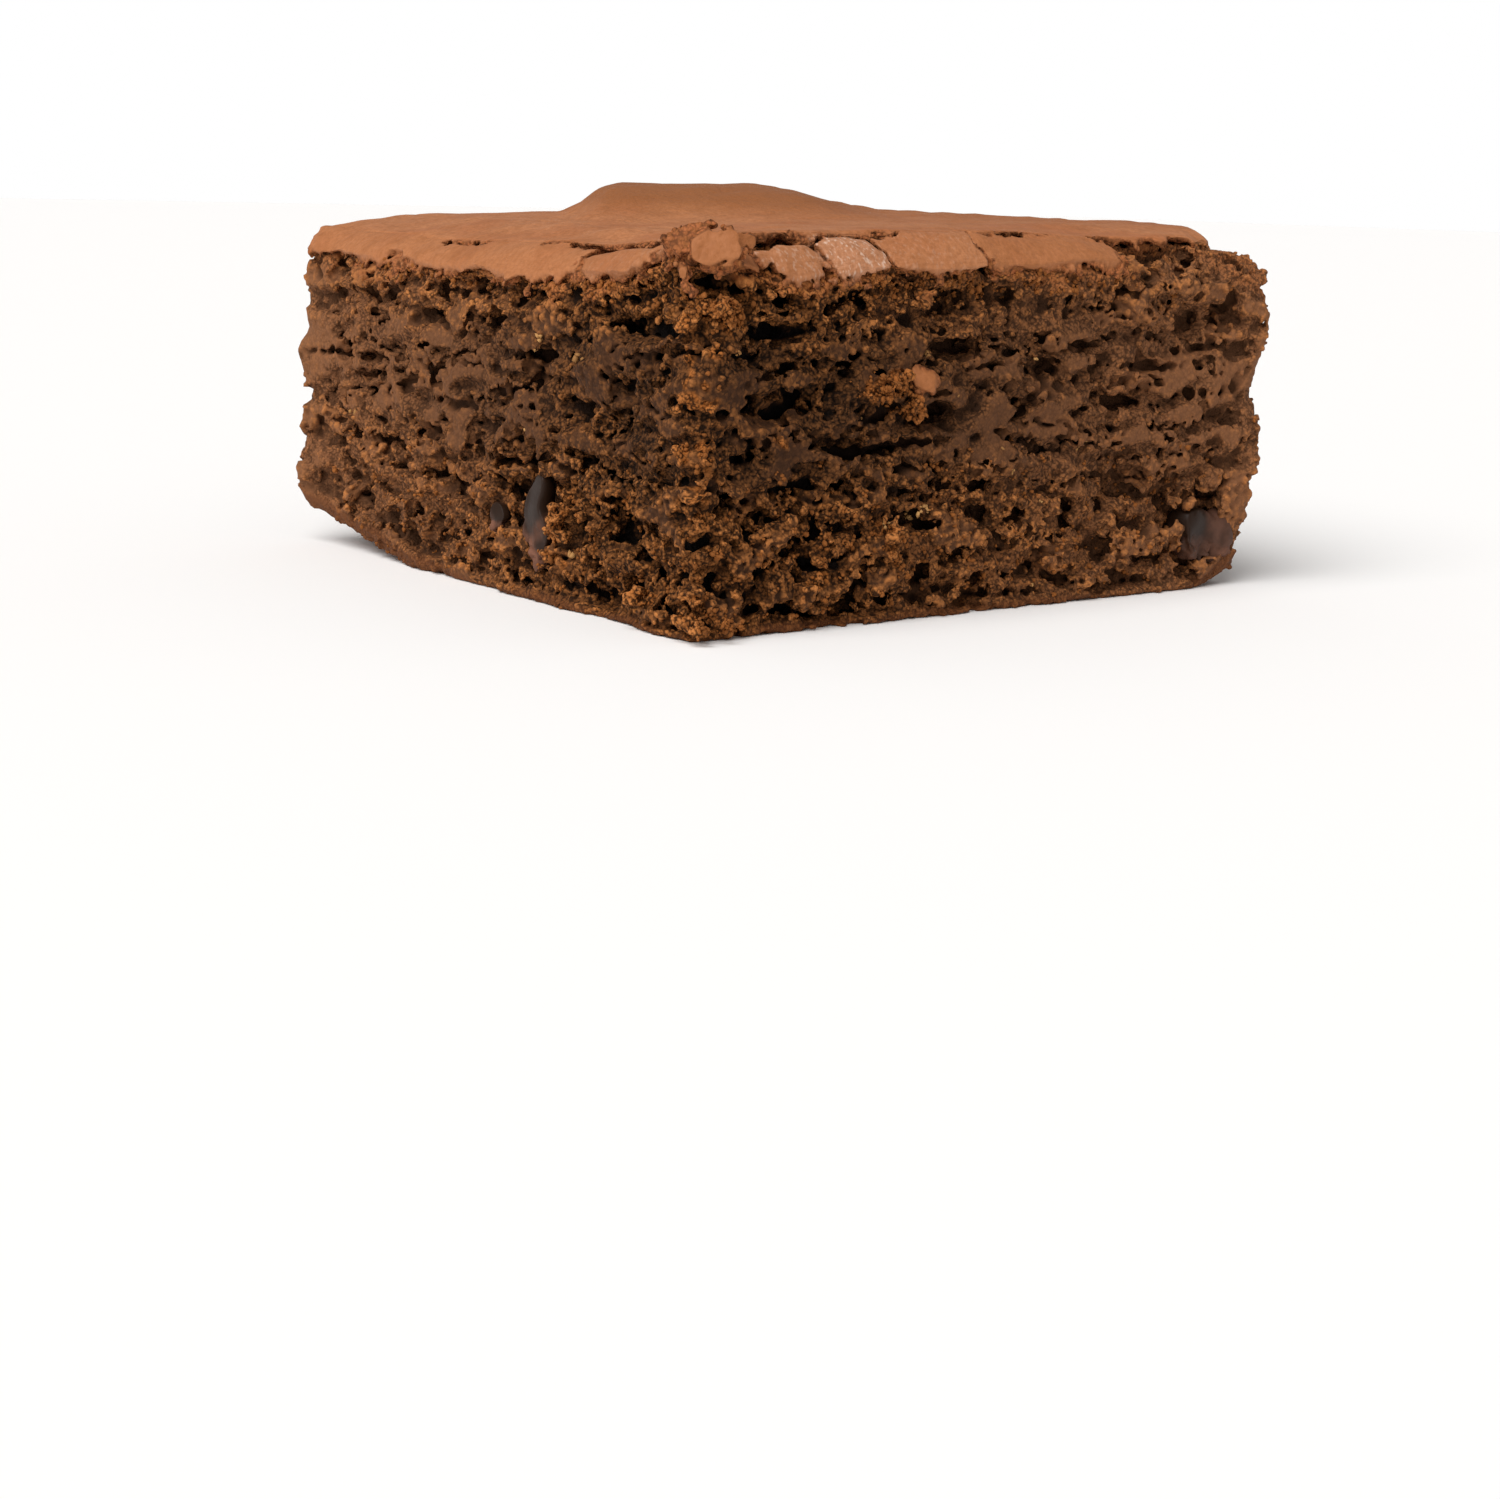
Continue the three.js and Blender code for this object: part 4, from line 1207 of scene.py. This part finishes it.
def underside(settings):
    """The baked underside between the cut sides, nearly flat."""
    inner = settings.wall / MM - 0.5
    low = (BAR_LOW[0] + inner, BAR_LOW[1] + inner, -1.0)
    high = (BAR_HIGH[0] - inner, BAR_HIGH[1] - inner, 3.0)
    slab = Slab(low, np.array(high) + 1, 0.4)
    field = bar_field().distance(slab) + 0.12 * ramp(slab.z, 0.0, 0.5) * noise(slab, 341, 1.6)
    field = np.maximum(np.maximum(field, -slab.z), slab.box(low, high))
    piece = field_mesh("crumb_underside", slab, field, UNDERSIDE)
    places = vertex_places(piece.data)
    for mark, value in (("tip", 0.5), ("hollow", 0.5), ("dry", 1.0), ("base", 1.0)):
        store(piece.data, mark, np.full(len(places), value))
    return piece


def crust_inside(slab, bar, settings):
    """How far each cell lies above the crust's underside: positive inside the crust."""
    under = crust_heights(slab, bar, settings)[1]
    bare = (1 - shoulder(slab)) * 9 + 0.7 * plan_noise(slab, 313, 1.3)
    lowered = np.maximum(0, -plates(slab)[0])
    return np.minimum(np.minimum(0.75 * (slab.z - under + lowered), -bare), -missing_strip(slab))


class BROWNIE_OT_crust(bpy.types.Operator):
    """Lay the thin crust over the bar, cracked along the two front edges."""

    bl_idname = "brownie.crust"
    bl_label = "Crust"

    def execute(self, context):
        settings = context.scene.brownie_crust
        material = crust_material(settings)
        bar = bar_field()
        step = settings.cell / MM
        low = BAR_LOW - MARGIN
        high = BAR_HIGH + 0.8
        inner_left, inner_front, _ = BAR_LOW + EDGE_REACH
        parts = {
            "crust_front": (low, (high[0], inner_front + CRUST_LAP), 0.7 * step, CRUST_EDGE, 1),
            "crust_left": (
                (low[0], inner_front),
                (inner_left + CRUST_LAP, high[1]),
                0.8 * step,
                CRUST_EDGE,
                0,
            ),
            "crust_sheet": ((inner_left, inner_front), high, 1.4 * step, CRUST_SHEET, None),
        }
        for name, (start, end, cell, target, tucked) in parts.items():
            lowest = (start[0] - 0.4, start[1] - 0.4, CRUST_BOTTOM)
            slab = Slab(lowest, (end[0] + 0.4, end[1] + 0.4, high[2]), cell)
            field, marks = crust_field(slab, bar, settings)
            surroundings = relief(slab, field)
            if tucked is not None:
                beyond = (slab.x, slab.y)[tucked] - end[tucked]
                field = field + CRUST_TUCK * ramp(beyond, -CRUST_LAP, -0.4)
            field = np.maximum(field, slab.box((start[0], start[1], -9), (end[0], end[1], 99)))
            piece = field_mesh(name, slab, field, target)
            if tucked is None:
                piece.data.set_sharp_from_angle(angle=math.radians(40))
            store_marks(piece, slab, surroundings, marks)
            place_piece(piece, material, "crust", BAR)
        return {"FINISHED"}


def crust_field(slab, bar, settings):
    """The crust, negative inside, and marks on its cells for the finish."""
    front, left = slab.front, slab.left
    top = crust_heights(slab, bar, settings)[0]
    plate, tone, shine = plates(slab)
    upper = ramp(slab.z, 35.5, 37.5)
    surface = np.maximum(bar.distance(slab) - far_rise(slab) * upper, 0.8 * (slab.z - top))
    surface = np.maximum(surface, 0.7 * (1.9 - left - slab.back))
    beside = np.minimum(front, left)

    # Wrinkles along the two edges
    along_front = slab.filled(front < left)
    wrinkle = along_front * noise(slab, 355, (7.0, 1.3, 3.0))
    wrinkle = wrinkle + (1 - along_front) * noise(slab, 356, (1.3, 7.0, 3.0))
    swelling = 0.05 * noise(slab, 351, (3.0, 1.6, 3.0))
    surface = surface - plate + 0.05 + swelling + 0.05 * wrinkle * (beside < 14)

    # Crumbled rims at the torn lower edge and along the cracks
    inside = crust_inside(slab, bar, settings)
    rim = (1 - ramp(inside + 0.12 * noise(slab, 357, 1.0), 0.1, 0.75)) * (beside < 1.6)
    crack = cracks(slab)
    rim = np.maximum(rim, 1 - ramp(-crack + 0.1 * noise(slab, 358, 0.8), 0.0, 0.16))
    ragged = np.clip(0.3 * noise(slab, 352, 0.5) + 0.26 * noise(slab, 353, 1.1), -0.7, 0.42)
    ragged = ragged * (1 - 0.6 * ramp(slab.u, 12.0, 16.0))
    crumbled = 0.12 * noise(slab, 359, 0.4) + 0.1 * noise(slab, 360, 0.8)
    thinner = 0.5 * ramp(crack, -1.2, 0.0) * (beside > STRIP_WIDTH)
    field = np.maximum(surface + rim * (0.05 + crumbled), thinner + ragged - inside)
    field = np.maximum(field, crack + 0.3 * ragged)

    # The near corner has lost its crust
    corner = np.minimum(5.4 - front - 0.35 * left, 4.6 - left - 0.35 * front)
    corner = corner + 0.5 * plan_noise(slab, 354, 1.3)
    field = np.maximum(field, 0.7 * corner)
    grain_balls(slab, field, 0.8 * rim * (beside < 1.6), 361, slab.filled(0))
    inner = np.clip((-surface - 0.1) / 0.25, 0, 1) * (rim < 0.5)
    marks = {"broken": np.maximum(inner, rim), "tone": slab.filled(tone), "shine": slab.filled(shine)}
    return field, marks


# The chips: side, place along it, height, radius, length, how far the axis lies inside the side, and
# the turn of the axis away from upright, in millimetres and degrees
CHIPS = {
    "chip_left": ("left", -11.0, 8.4, 1.8, 10.0, 1.0, -8.0),
    "chip_left_small": ("left", -3.4, 8.0, 1.35, 2.8, 0.8, 20.0),
    "chip_right": ("front", 31.4, 6.2, 2.8, 5.6, 1.3, 80.0),
    "chip_side": ("right", 8.0, 10.5, 2.6, 6.2, 1.4, 58.0),
    "chip_back": ("back", 12.0, 9.0, 2.8, 7.2, 1.5, 64.0),
    "chip_back_small": ("back", -17.0, 15.0, 1.7, 4.0, 0.9, 20.0),
}


# The right chip has a second, broken lobe: its middle along the side, up and out, its half sizes, and the
# room for it in the chip's slab, in millimetres
LOBE_MIDDLE = (3.4, -0.8, -0.6)
LOBE_SIZES = (2.2, 3.3, 2.2)
LOBE_ROOM = 3.6
CHIP_ROOM = 0.6

# Cells of the long chips, of the short ones and of the broken bits of crust, in millimetres
LONG_CHIP_CELL = 0.12
SHORT_CHIP_CELL = 0.07
BIT_CELL = 0.1


def along_and_out(side):
    """Unit vectors along a side and out of it."""
    return {
        "front": (np.array([1.0, 0, 0]), np.array([0, -1.0, 0])),
        "back": (np.array([1.0, 0, 0]), np.array([0, 1.0, 0])),
        "left": (np.array([0, 1.0, 0]), np.array([-1.0, 0, 0])),
        "right": (np.array([0, 1.0, 0]), np.array([1.0, 0, 0])),
    }[side]


def chip_pockets():
    """Room in the crumb for each chip, open to the side it shows in."""
    pockets = []
    for side, along, z, radius, length, inside, turn in CHIPS.values():
        out = along_and_out(side)[1]
        a = math.radians(turn)
        across = math.hypot(0.5 * length * math.sin(a), radius * math.cos(a))
        upright = math.hypot(0.5 * length * math.cos(a), radius * math.sin(a))
        for shift, room in ((0.0, 0.0), (1.3, -0.2)):
            middle = np.array(on_side(side, along, inside, z)) + out * shift
            pockets.append((tuple(middle), half_sizes(side, across + room, radius + 0.4, upright + room)))
    return pockets


class BROWNIE_OT_chips(bpy.types.Operator):
    """Set the chocolate chips in the cut sides."""

    bl_idname = "brownie.chips"
    bl_label = "Chocolate chips"

    def execute(self, context):
        material = chip_material(context.scene.brownie_chip)
        for number, (name, chip) in enumerate(CHIPS.items()):
            place_piece(chip_piece(name + "_cut", chip, CHIP_SEED + number), material, "chip", name)
        return {"FINISHED"}


def chip_piece(name, chip, seed):
    """One chip, cut smooth at the side it shows in and a little crumbly at its lower end."""
    side, along, z, radius, length, inside, turn = chip
    way, out = along_and_out(side)
    middle = np.array(on_side(side, along, inside, z)) + MIDDLE
    lobed = name.startswith("chip_right")
    reach = 0.5 * length + (LOBE_ROOM if lobed else CHIP_ROOM)
    slab = Slab(middle - reach, middle + reach, LONG_CHIP_CELL if length > 3 else SHORT_CHIP_CELL)
    offsets = (slab.x - middle[0], slab.y - middle[1], slab.z - middle[2])
    bend = [0.3 * noise(slab, seed + 20 * i, 2.2) for i in range(2)]
    flat = sum(o * w for o, w in zip(offsets, way)) + bend[0]
    deep = sum(o * w for o, w in zip(offsets, out)) + bend[1]
    upright = offsets[2]
    a = math.radians(turn)
    axis = flat * math.sin(a) + upright * math.cos(a)
    across = flat * math.cos(a) - upright * math.sin(a)
    taper = radius * (1 - 0.22 * axis / (0.5 * length))
    round_off = (np.abs(axis / (0.5 * length)) ** 2.4 + (across / taper) ** 2 + (deep / radius) ** 2) ** 0.5
    field = (round_off - 1) * radius
    if lobed:
        lobe = sum(((c - m) / h) ** 2 for c, m, h in zip((flat, upright, deep), LOBE_MIDDLE, LOBE_SIZES))
        field = np.minimum(field, (np.sqrt(lobe) - 1) * 2.0)
    field = np.maximum(field, deep - inside + 0.45 + 0.13 * noise(slab, seed + 3, (1.2, 1.2, 3.0)))
    crumbly = ramp(0.15 * noise(slab, seed + 6, 1.3) - upright / (0.5 * length), 0.1, 0.45)
    field = field + crumbly * (0.22 * noise(slab, seed + 4, 0.7) + 0.14 * noise(slab, seed + 5, 0.35))
    piece = field_mesh(name, slab, field, CHIP)
    places = vertex_places(piece.data)
    if lobed:
        crumbly = 0.4 * ramp(flat, 0.2, 1.4) + 0.3 * crumbly
    store(piece.data, "cut", sampled(slab, slab.filled(crumbly), places))
    return piece


# Broken bits of crust by the near corner and on the front side: place and half sizes in the bar's own
# millimetres, the way the baked face looks, its turn in degrees, how rough it is, how torn its face is,
# and how brown
BITS = {
    "crust_nugget": ((-35.6, -38.7, 36.5), (2.15, 1.75, 1.1), (-0.5, -0.78, 0.36), 8, 0.2, 0.05, 0.45),
    "crust_nugget_small": ((-32.7, -38.3, 36.6), (0.8, 1.0, 0.7), (-0.3, -0.9, 0.3), -12, 0.16, 0.1, 0.8),
    "crust_lump": ((-37.1, -36.1, 36.9), (2.3, 1.8, 1.3), (-0.5, -0.6, 0.62), 20, 0.24, 0.8, 1.3),
    "crust_sliver": ((-38.3, -37.7, 33.3), (0.7, 1.75, 0.6), (-0.85, -0.5, 0.1), 5, 0.16, 0.0, 0.7),
    "crust_flake": ((-10.9, -39.3, 23.9), (1.7, 1.2, 0.8), (-0.25, -0.93, 0.25), -20, 0.25, 0.1, 0.6),
}


class BROWNIE_OT_bits(bpy.types.Operator):
    """Lay the broken bits of crust by the near corner and on the front side."""

    bl_idname = "brownie.bits"
    bl_label = "Broken bits of crust"

    def execute(self, context):
        material = bpy.data.materials["Baked brownie crust"]
        for number, (name, bit) in enumerate(BITS.items()):
            place_piece(bit_piece(name, bit, BIT_SEED + 10 * number), material, "crust", BAR)
        return {"FINISHED"}


def bit_piece(name, bit, seed):
    """A broken bit of crust: smooth on the side that was the top, torn all round."""
    place, half, facing, spin, rough, torn, brown = bit
    middle = np.array(place) + MIDDLE
    reach = max(half) + 0.8
    slab = Slab(middle - reach, middle + reach, BIT_CELL)
    to_face = Vector(facing).to_track_quat("Z", "Y").to_matrix()
    turn = np.array((to_face @ Matrix.Rotation(math.radians(spin), 3, "Z")).inverted())
    offsets = (slab.x - middle[0], slab.y - middle[1], slab.z - middle[2])
    p = [sum(t * o for t, o in zip(row, offsets)) for row in turn]
    bend = [0.2 * noise(slab, seed + 5 * i, 1.9) + 0.1 * noise(slab, seed + 5 * i + 2, 0.8) for i in range(3)]
    round_off = sum(np.abs((c + b) / h) ** 3.2 for c, b, h in zip(p, bend, half)) ** (1 / 3.2)
    field = (round_off - 1) * min(half)
    top = ramp(p[2] / half[2], 0.3, 0.6)
    ragged = rough * noise(slab, seed + 1, 0.8) + 0.6 * rough * noise(slab, seed + 2, 0.4)
    ragged = np.clip(ragged, -0.25, 0.6)
    field = np.maximum(field, p[2] - 0.7 * half[2]) + ragged * (1 - 0.8 * top)
    grain_balls(slab, field, 0.5 * (1 - top), seed + 3, slab.filled(0))
    piece = field_mesh(name, slab, field, BIT)
    broken = slab.filled(np.clip(1 - top + torn, 0, 1))
    store_marks(piece, slab, relief(slab, field), {"broken": broken})
    store(piece.data, "tone", np.full(len(piece.data.vertices), brown))
    return piece


# Loose crumbs: kind, side, place along it and height, spread along and upright, and how many
CRUMB_HEAPS = [
    ("toasted", "front", -36.5, 14.0, 1.2, 9.0, 60),
    ("toasted", "left", -37.0, 14.0, 1.2, 9.0, 60),
    ("toasted", "front", -34.5, 31.0, 1.9, 0.9, 60),
    ("toasted", "left", -36.8, 30.6, 1.0, 1.2, 30),
    ("toasted", "front", -35.5, 1.8, 2.0, 0.7, 60),
    ("toasted", "front", -14.6, 23.2, 1.6, 0.7, 40),
    ("toasted", "front", -11.9, 21.4, 0.9, 0.9, 30),
    ("toasted", "front", -18.0, 7.0, 12.0, 4.0, 180),
    ("toasted", "front", 12.0, 8.0, 14.0, 4.5, 120),
    ("toasted", "left", -20.0, 7.0, 9.0, 3.5, 140),
    ("toasted", "left", 12.0, 7.0, 12.0, 4.0, 90),
    ("toasted", "front", -5.0, 33.0, 15.0, 0.8, 140),
    ("toasted", "left", -6.0, 32.4, 15.0, 0.8, 140),
    ("toasted", "back", 0.0, 10.0, 20.0, 7.0, 140),
    ("toasted", "right", 0.0, 10.0, 20.0, 7.0, 140),
    ("pale", "front", -9.0, 10.3, 0.25, 0.6, 8),
    ("pale", "front", 0.0, 14.0, 18.0, 8.0, 18),
    ("pale", "left", 0.0, 14.0, 18.0, 8.0, 14),
    ("pale", "back", 0.0, 14.0, 18.0, 8.0, 12),
    ("pale", "right", 0.0, 14.0, 18.0, 8.0, 12),
]


class BROWNIE_OT_loose(bpy.types.Operator):
    """Scatter loose crumbs on the cut sides."""

    bl_idname = "brownie.loose"
    bl_label = "Loose crumbs"

    def execute(self, context):
        settings = context.scene.brownie_crumb
        surfaces = {}
        for side in ("front", "left", "back", "right"):
            pieces = [o for o in bpy.data.objects if o.name.startswith("crumb_" + side)]
            if not pieces:
                raise RuntimeError("The torn crumb is made first")
            surfaces[side] = [BVHTree.FromPolygons(*points_and_faces(o.data)) for o in pieces]
        grain, faces = grain_template()
        for number, (kind, shade) in enumerate((("toasted", settings.toasted), ("pale", settings.pale))):
            rng = np.random.default_rng(LOOSE_SEED + number)
            grains = []
            tints = []
            for heap_kind, side, along, z, wide, tall, count in CRUMB_HEAPS:
                if heap_kind == kind:
                    for _ in range(count):
                        made = crumb_grains(grain, surfaces[side], side, along, z, wide, tall, rng)
                        grains += made
                        tints += [rng.random()] * (len(made) * len(grain))
            shifts = np.arange(len(grains))[:, None, None] * len(grain)
            mesh = bpy.data.meshes.new("crumbs_" + kind)
            mesh.from_pydata(np.concatenate(grains), [], (faces[None] + shifts).reshape(-1, 3))
            store(mesh, "tint", tints)
            mesh.shade_smooth()
            piece = bpy.data.objects.new("crumbs_" + kind, mesh)
            context.scene.collection.objects.link(piece)
            material = loose_material("Loose crumb, " + kind, shade, settings.crumb)
            place_piece(piece, material, "crumb", BAR)
        return {"FINISHED"}


def grain_template():
    """The corners and faces of one small ball."""
    form = bmesh.new()
    bmesh.ops.create_icosphere(form, subdivisions=1, radius=1.0)
    corners = np.array([tuple(vert.co) for vert in form.verts])
    faces = np.array([[vert.index for vert in face.verts] for face in form.faces])
    form.free()
    return corners, faces


def points_and_faces(mesh):
    """The points and faces of a mesh as lists."""
    places = (vertex_places(mesh) * MM).tolist()
    return places, [tuple(p.vertices) for p in mesh.polygons]


def crumb_grains(grain, surfaces, side, along, z, wide, tall, rng):
    """The grains of one small crumb, stuck where a line into the side meets it."""
    out = along_and_out(side)[1]
    along = along + wide * rng.standard_normal()
    spot = np.array(on_side(side, along, -4.0, z + tall * rng.standard_normal()))
    start = Vector((spot + MIDDLE) * MM)
    if not 0.8 * MM < start.z < 36 * MM:
        return []
    hits = [tree.ray_cast(start, Vector(-out), 9 * MM) for tree in surfaces]
    hits = [hit for hit in hits if hit[0] is not None]
    if not hits:
        return []
    place, normal, _, _ = min(hits, key=lambda hit: hit[3])
    radius = rng.uniform(*LOOSE_RADIUS) * (1 + 0.5 * rng.random() ** 3) * MM
    grains = []
    for _ in range(rng.integers(2, 5)):
        shift = np.array(place + normal * 0.1 * radius) + rng.uniform(-1.1, 1.1, 3) * radius
        size = radius * rng.uniform(0.5, 0.95) * rng.uniform(0.55, 1.3, (len(grain), 1))
        size = size * rng.uniform(0.7, 1.3, 3)
        grains.append(grain * size + shift)
    return grains


class BROWNIE_OT_stage(bpy.types.Operator):
    """Set the floor, the light and the camera."""

    bl_idname = "brownie.stage"
    bl_label = "Stage"

    def execute(self, context):
        settings = context.scene.brownie_stage
        add_floor(settings)
        add_lights(settings)
        add_camera(context.scene)
        return {"FINISHED"}


# Camera as in the photograph: heading, pitch and roll in degrees, place in millimetres from the
# bar's middle, and the lens for a 36 mm wide sensor
CAMERA_TURN = (-37.4091, 12.7943, 1.4745)
CAMERA_PLACE = np.array([-172.6226, -224.4903, 42.276])
LENS = 59.76
SENSOR = 36.0


def add_camera(scene):
    """The camera, at the photograph's angle."""
    data = bpy.data.cameras.new("Camera")
    data.lens = LENS
    data.sensor_width = SENSOR
    data.clip_start = 0.01
    data.clip_end = 20.0
    camera = bpy.data.objects.new("Camera", data)
    scene.collection.objects.link(camera)
    heading, pitch, roll = (math.radians(a) for a in CAMERA_TURN)
    turn = Matrix.Rotation(heading, 3, "Z") @ Matrix.Rotation(math.pi / 2 - pitch, 3, "X")
    turn = turn @ Matrix.Rotation(roll, 3, "Z")
    camera.location = (CAMERA_PLACE + MIDDLE) * MM
    camera.rotation_euler = turn.to_euler()
    scene.camera = camera


def add_floor(settings):
    """A plain pale floor, matt, large enough to fill every view."""
    form = bmesh.new()
    bmesh.ops.create_grid(form, x_segments=1, y_segments=1, size=3.0)
    mesh = bpy.data.meshes.new("Floor")
    form.to_mesh(mesh)
    form.free()
    floor = bpy.data.objects.new("Floor", mesh)
    bpy.context.scene.collection.objects.link(floor)
    material, tree = blank_material("Pale matt floor")
    shader = add_node(tree, "BsdfPrincipled", Base_Color=settings.floor, Roughness=0.9)
    add_node(tree, "OutputMaterial", Surface=(shader, 0))
    mesh.materials.append(material)


# The surroundings fade from white between two heights of the sky, and the lamp has its strength, its width
# in degrees and the way that it shines
SKY_FADE = (0.09, 0.2)
LAMP_STRENGTH = 3.0
LAMP_WIDTH = 50
LAMP_WAY = (0.64, 0.25, -0.8)


def add_lights(settings):
    """White all round at eye level, dimmer overhead, and one large soft light above."""
    world = bpy.data.worlds.new("Soft white surroundings")
    world.use_nodes = True
    tree = world.node_tree
    background = tree.nodes["Background"]
    place = add_node(tree, "TexCoord")
    axes = add_node(tree, "SeparateXYZ", Vector=(place, "Generated"))
    low, high = SKY_FADE
    fade = add_node(tree, "MapRange", i0=(axes, "Z"), i1=low, i2=high, i3=1.0, i4=settings.light)
    tree.links.new(fade.outputs[0], background.inputs["Strength"])
    background.inputs["Color"].default_value = (1.0, 1.0, 1.0, 1.0)
    bpy.context.scene.world = world
    bpy.context.scene.view_settings.view_transform = "Standard"
    sun = bpy.data.lights.new("Soft overhead light", "SUN")
    sun.energy = LAMP_STRENGTH
    sun.angle = math.radians(LAMP_WIDTH)
    lamp = bpy.data.objects.new("Soft overhead light", sun)
    lamp.rotation_euler = Vector(LAMP_WAY).to_track_quat("-Z", "Y").to_euler()
    bpy.context.scene.collection.objects.link(lamp)


class BROWNIE_PT_panel(bpy.types.Panel):
    """Brownie bar: its settings and its pieces."""

    bl_label = "Brownie"
    bl_space_type = "VIEW_3D"
    bl_region_type = "UI"
    bl_category = "Brownie"

    def draw(self, context):
        layout = self.layout
        for group, (label, operators) in PANEL_PARTS.items():
            box = layout.box()
            box.label(text=label)
            settings = getattr(context.scene, group)
            for name in settings.bl_rna.properties.keys():
                if name not in ("rna_type", "name"):
                    box.prop(settings, name)
            for operator in operators:
                box.operator(operator)


PANEL_PARTS = {
    "brownie_crumb": ("Crumb", ["brownie.crumb", "brownie.loose"]),
    "brownie_crust": ("Crust", ["brownie.crust", "brownie.bits"]),
    "brownie_chip": ("Chips", ["brownie.chips"]),
    "brownie_stage": ("Stage", ["brownie.stage"]),
}

SETTINGS = {
    "brownie_crumb": CrumbSettings,
    "brownie_crust": CrustSettings,
    "brownie_chip": ChipSettings,
    "brownie_stage": StageSettings,
}

CLASSES = (
    *SETTINGS.values(),
    BROWNIE_OT_crumb,
    BROWNIE_OT_crust,
    BROWNIE_OT_bits,
    BROWNIE_OT_chips,
    BROWNIE_OT_loose,
    BROWNIE_OT_stage,
    BROWNIE_PT_panel,
)


def register():
    for cls in CLASSES:
        bpy.utils.register_class(cls)
    for name, group in SETTINGS.items():
        setattr(bpy.types.Scene, name, PointerProperty(type=group))


def unregister():
    for name in SETTINGS:
        delattr(bpy.types.Scene, name)
    for cls in reversed(CLASSES):
        bpy.utils.unregister_class(cls)


def main():
    """Builds every piece and the stage."""
    register()
    bpy.ops.brownie.crumb()
    bpy.ops.brownie.crust()
    bpy.ops.brownie.bits()
    bpy.ops.brownie.chips()
    bpy.ops.brownie.loose()
    bpy.ops.brownie.stage()


if __name__ == "__main__":
    main()
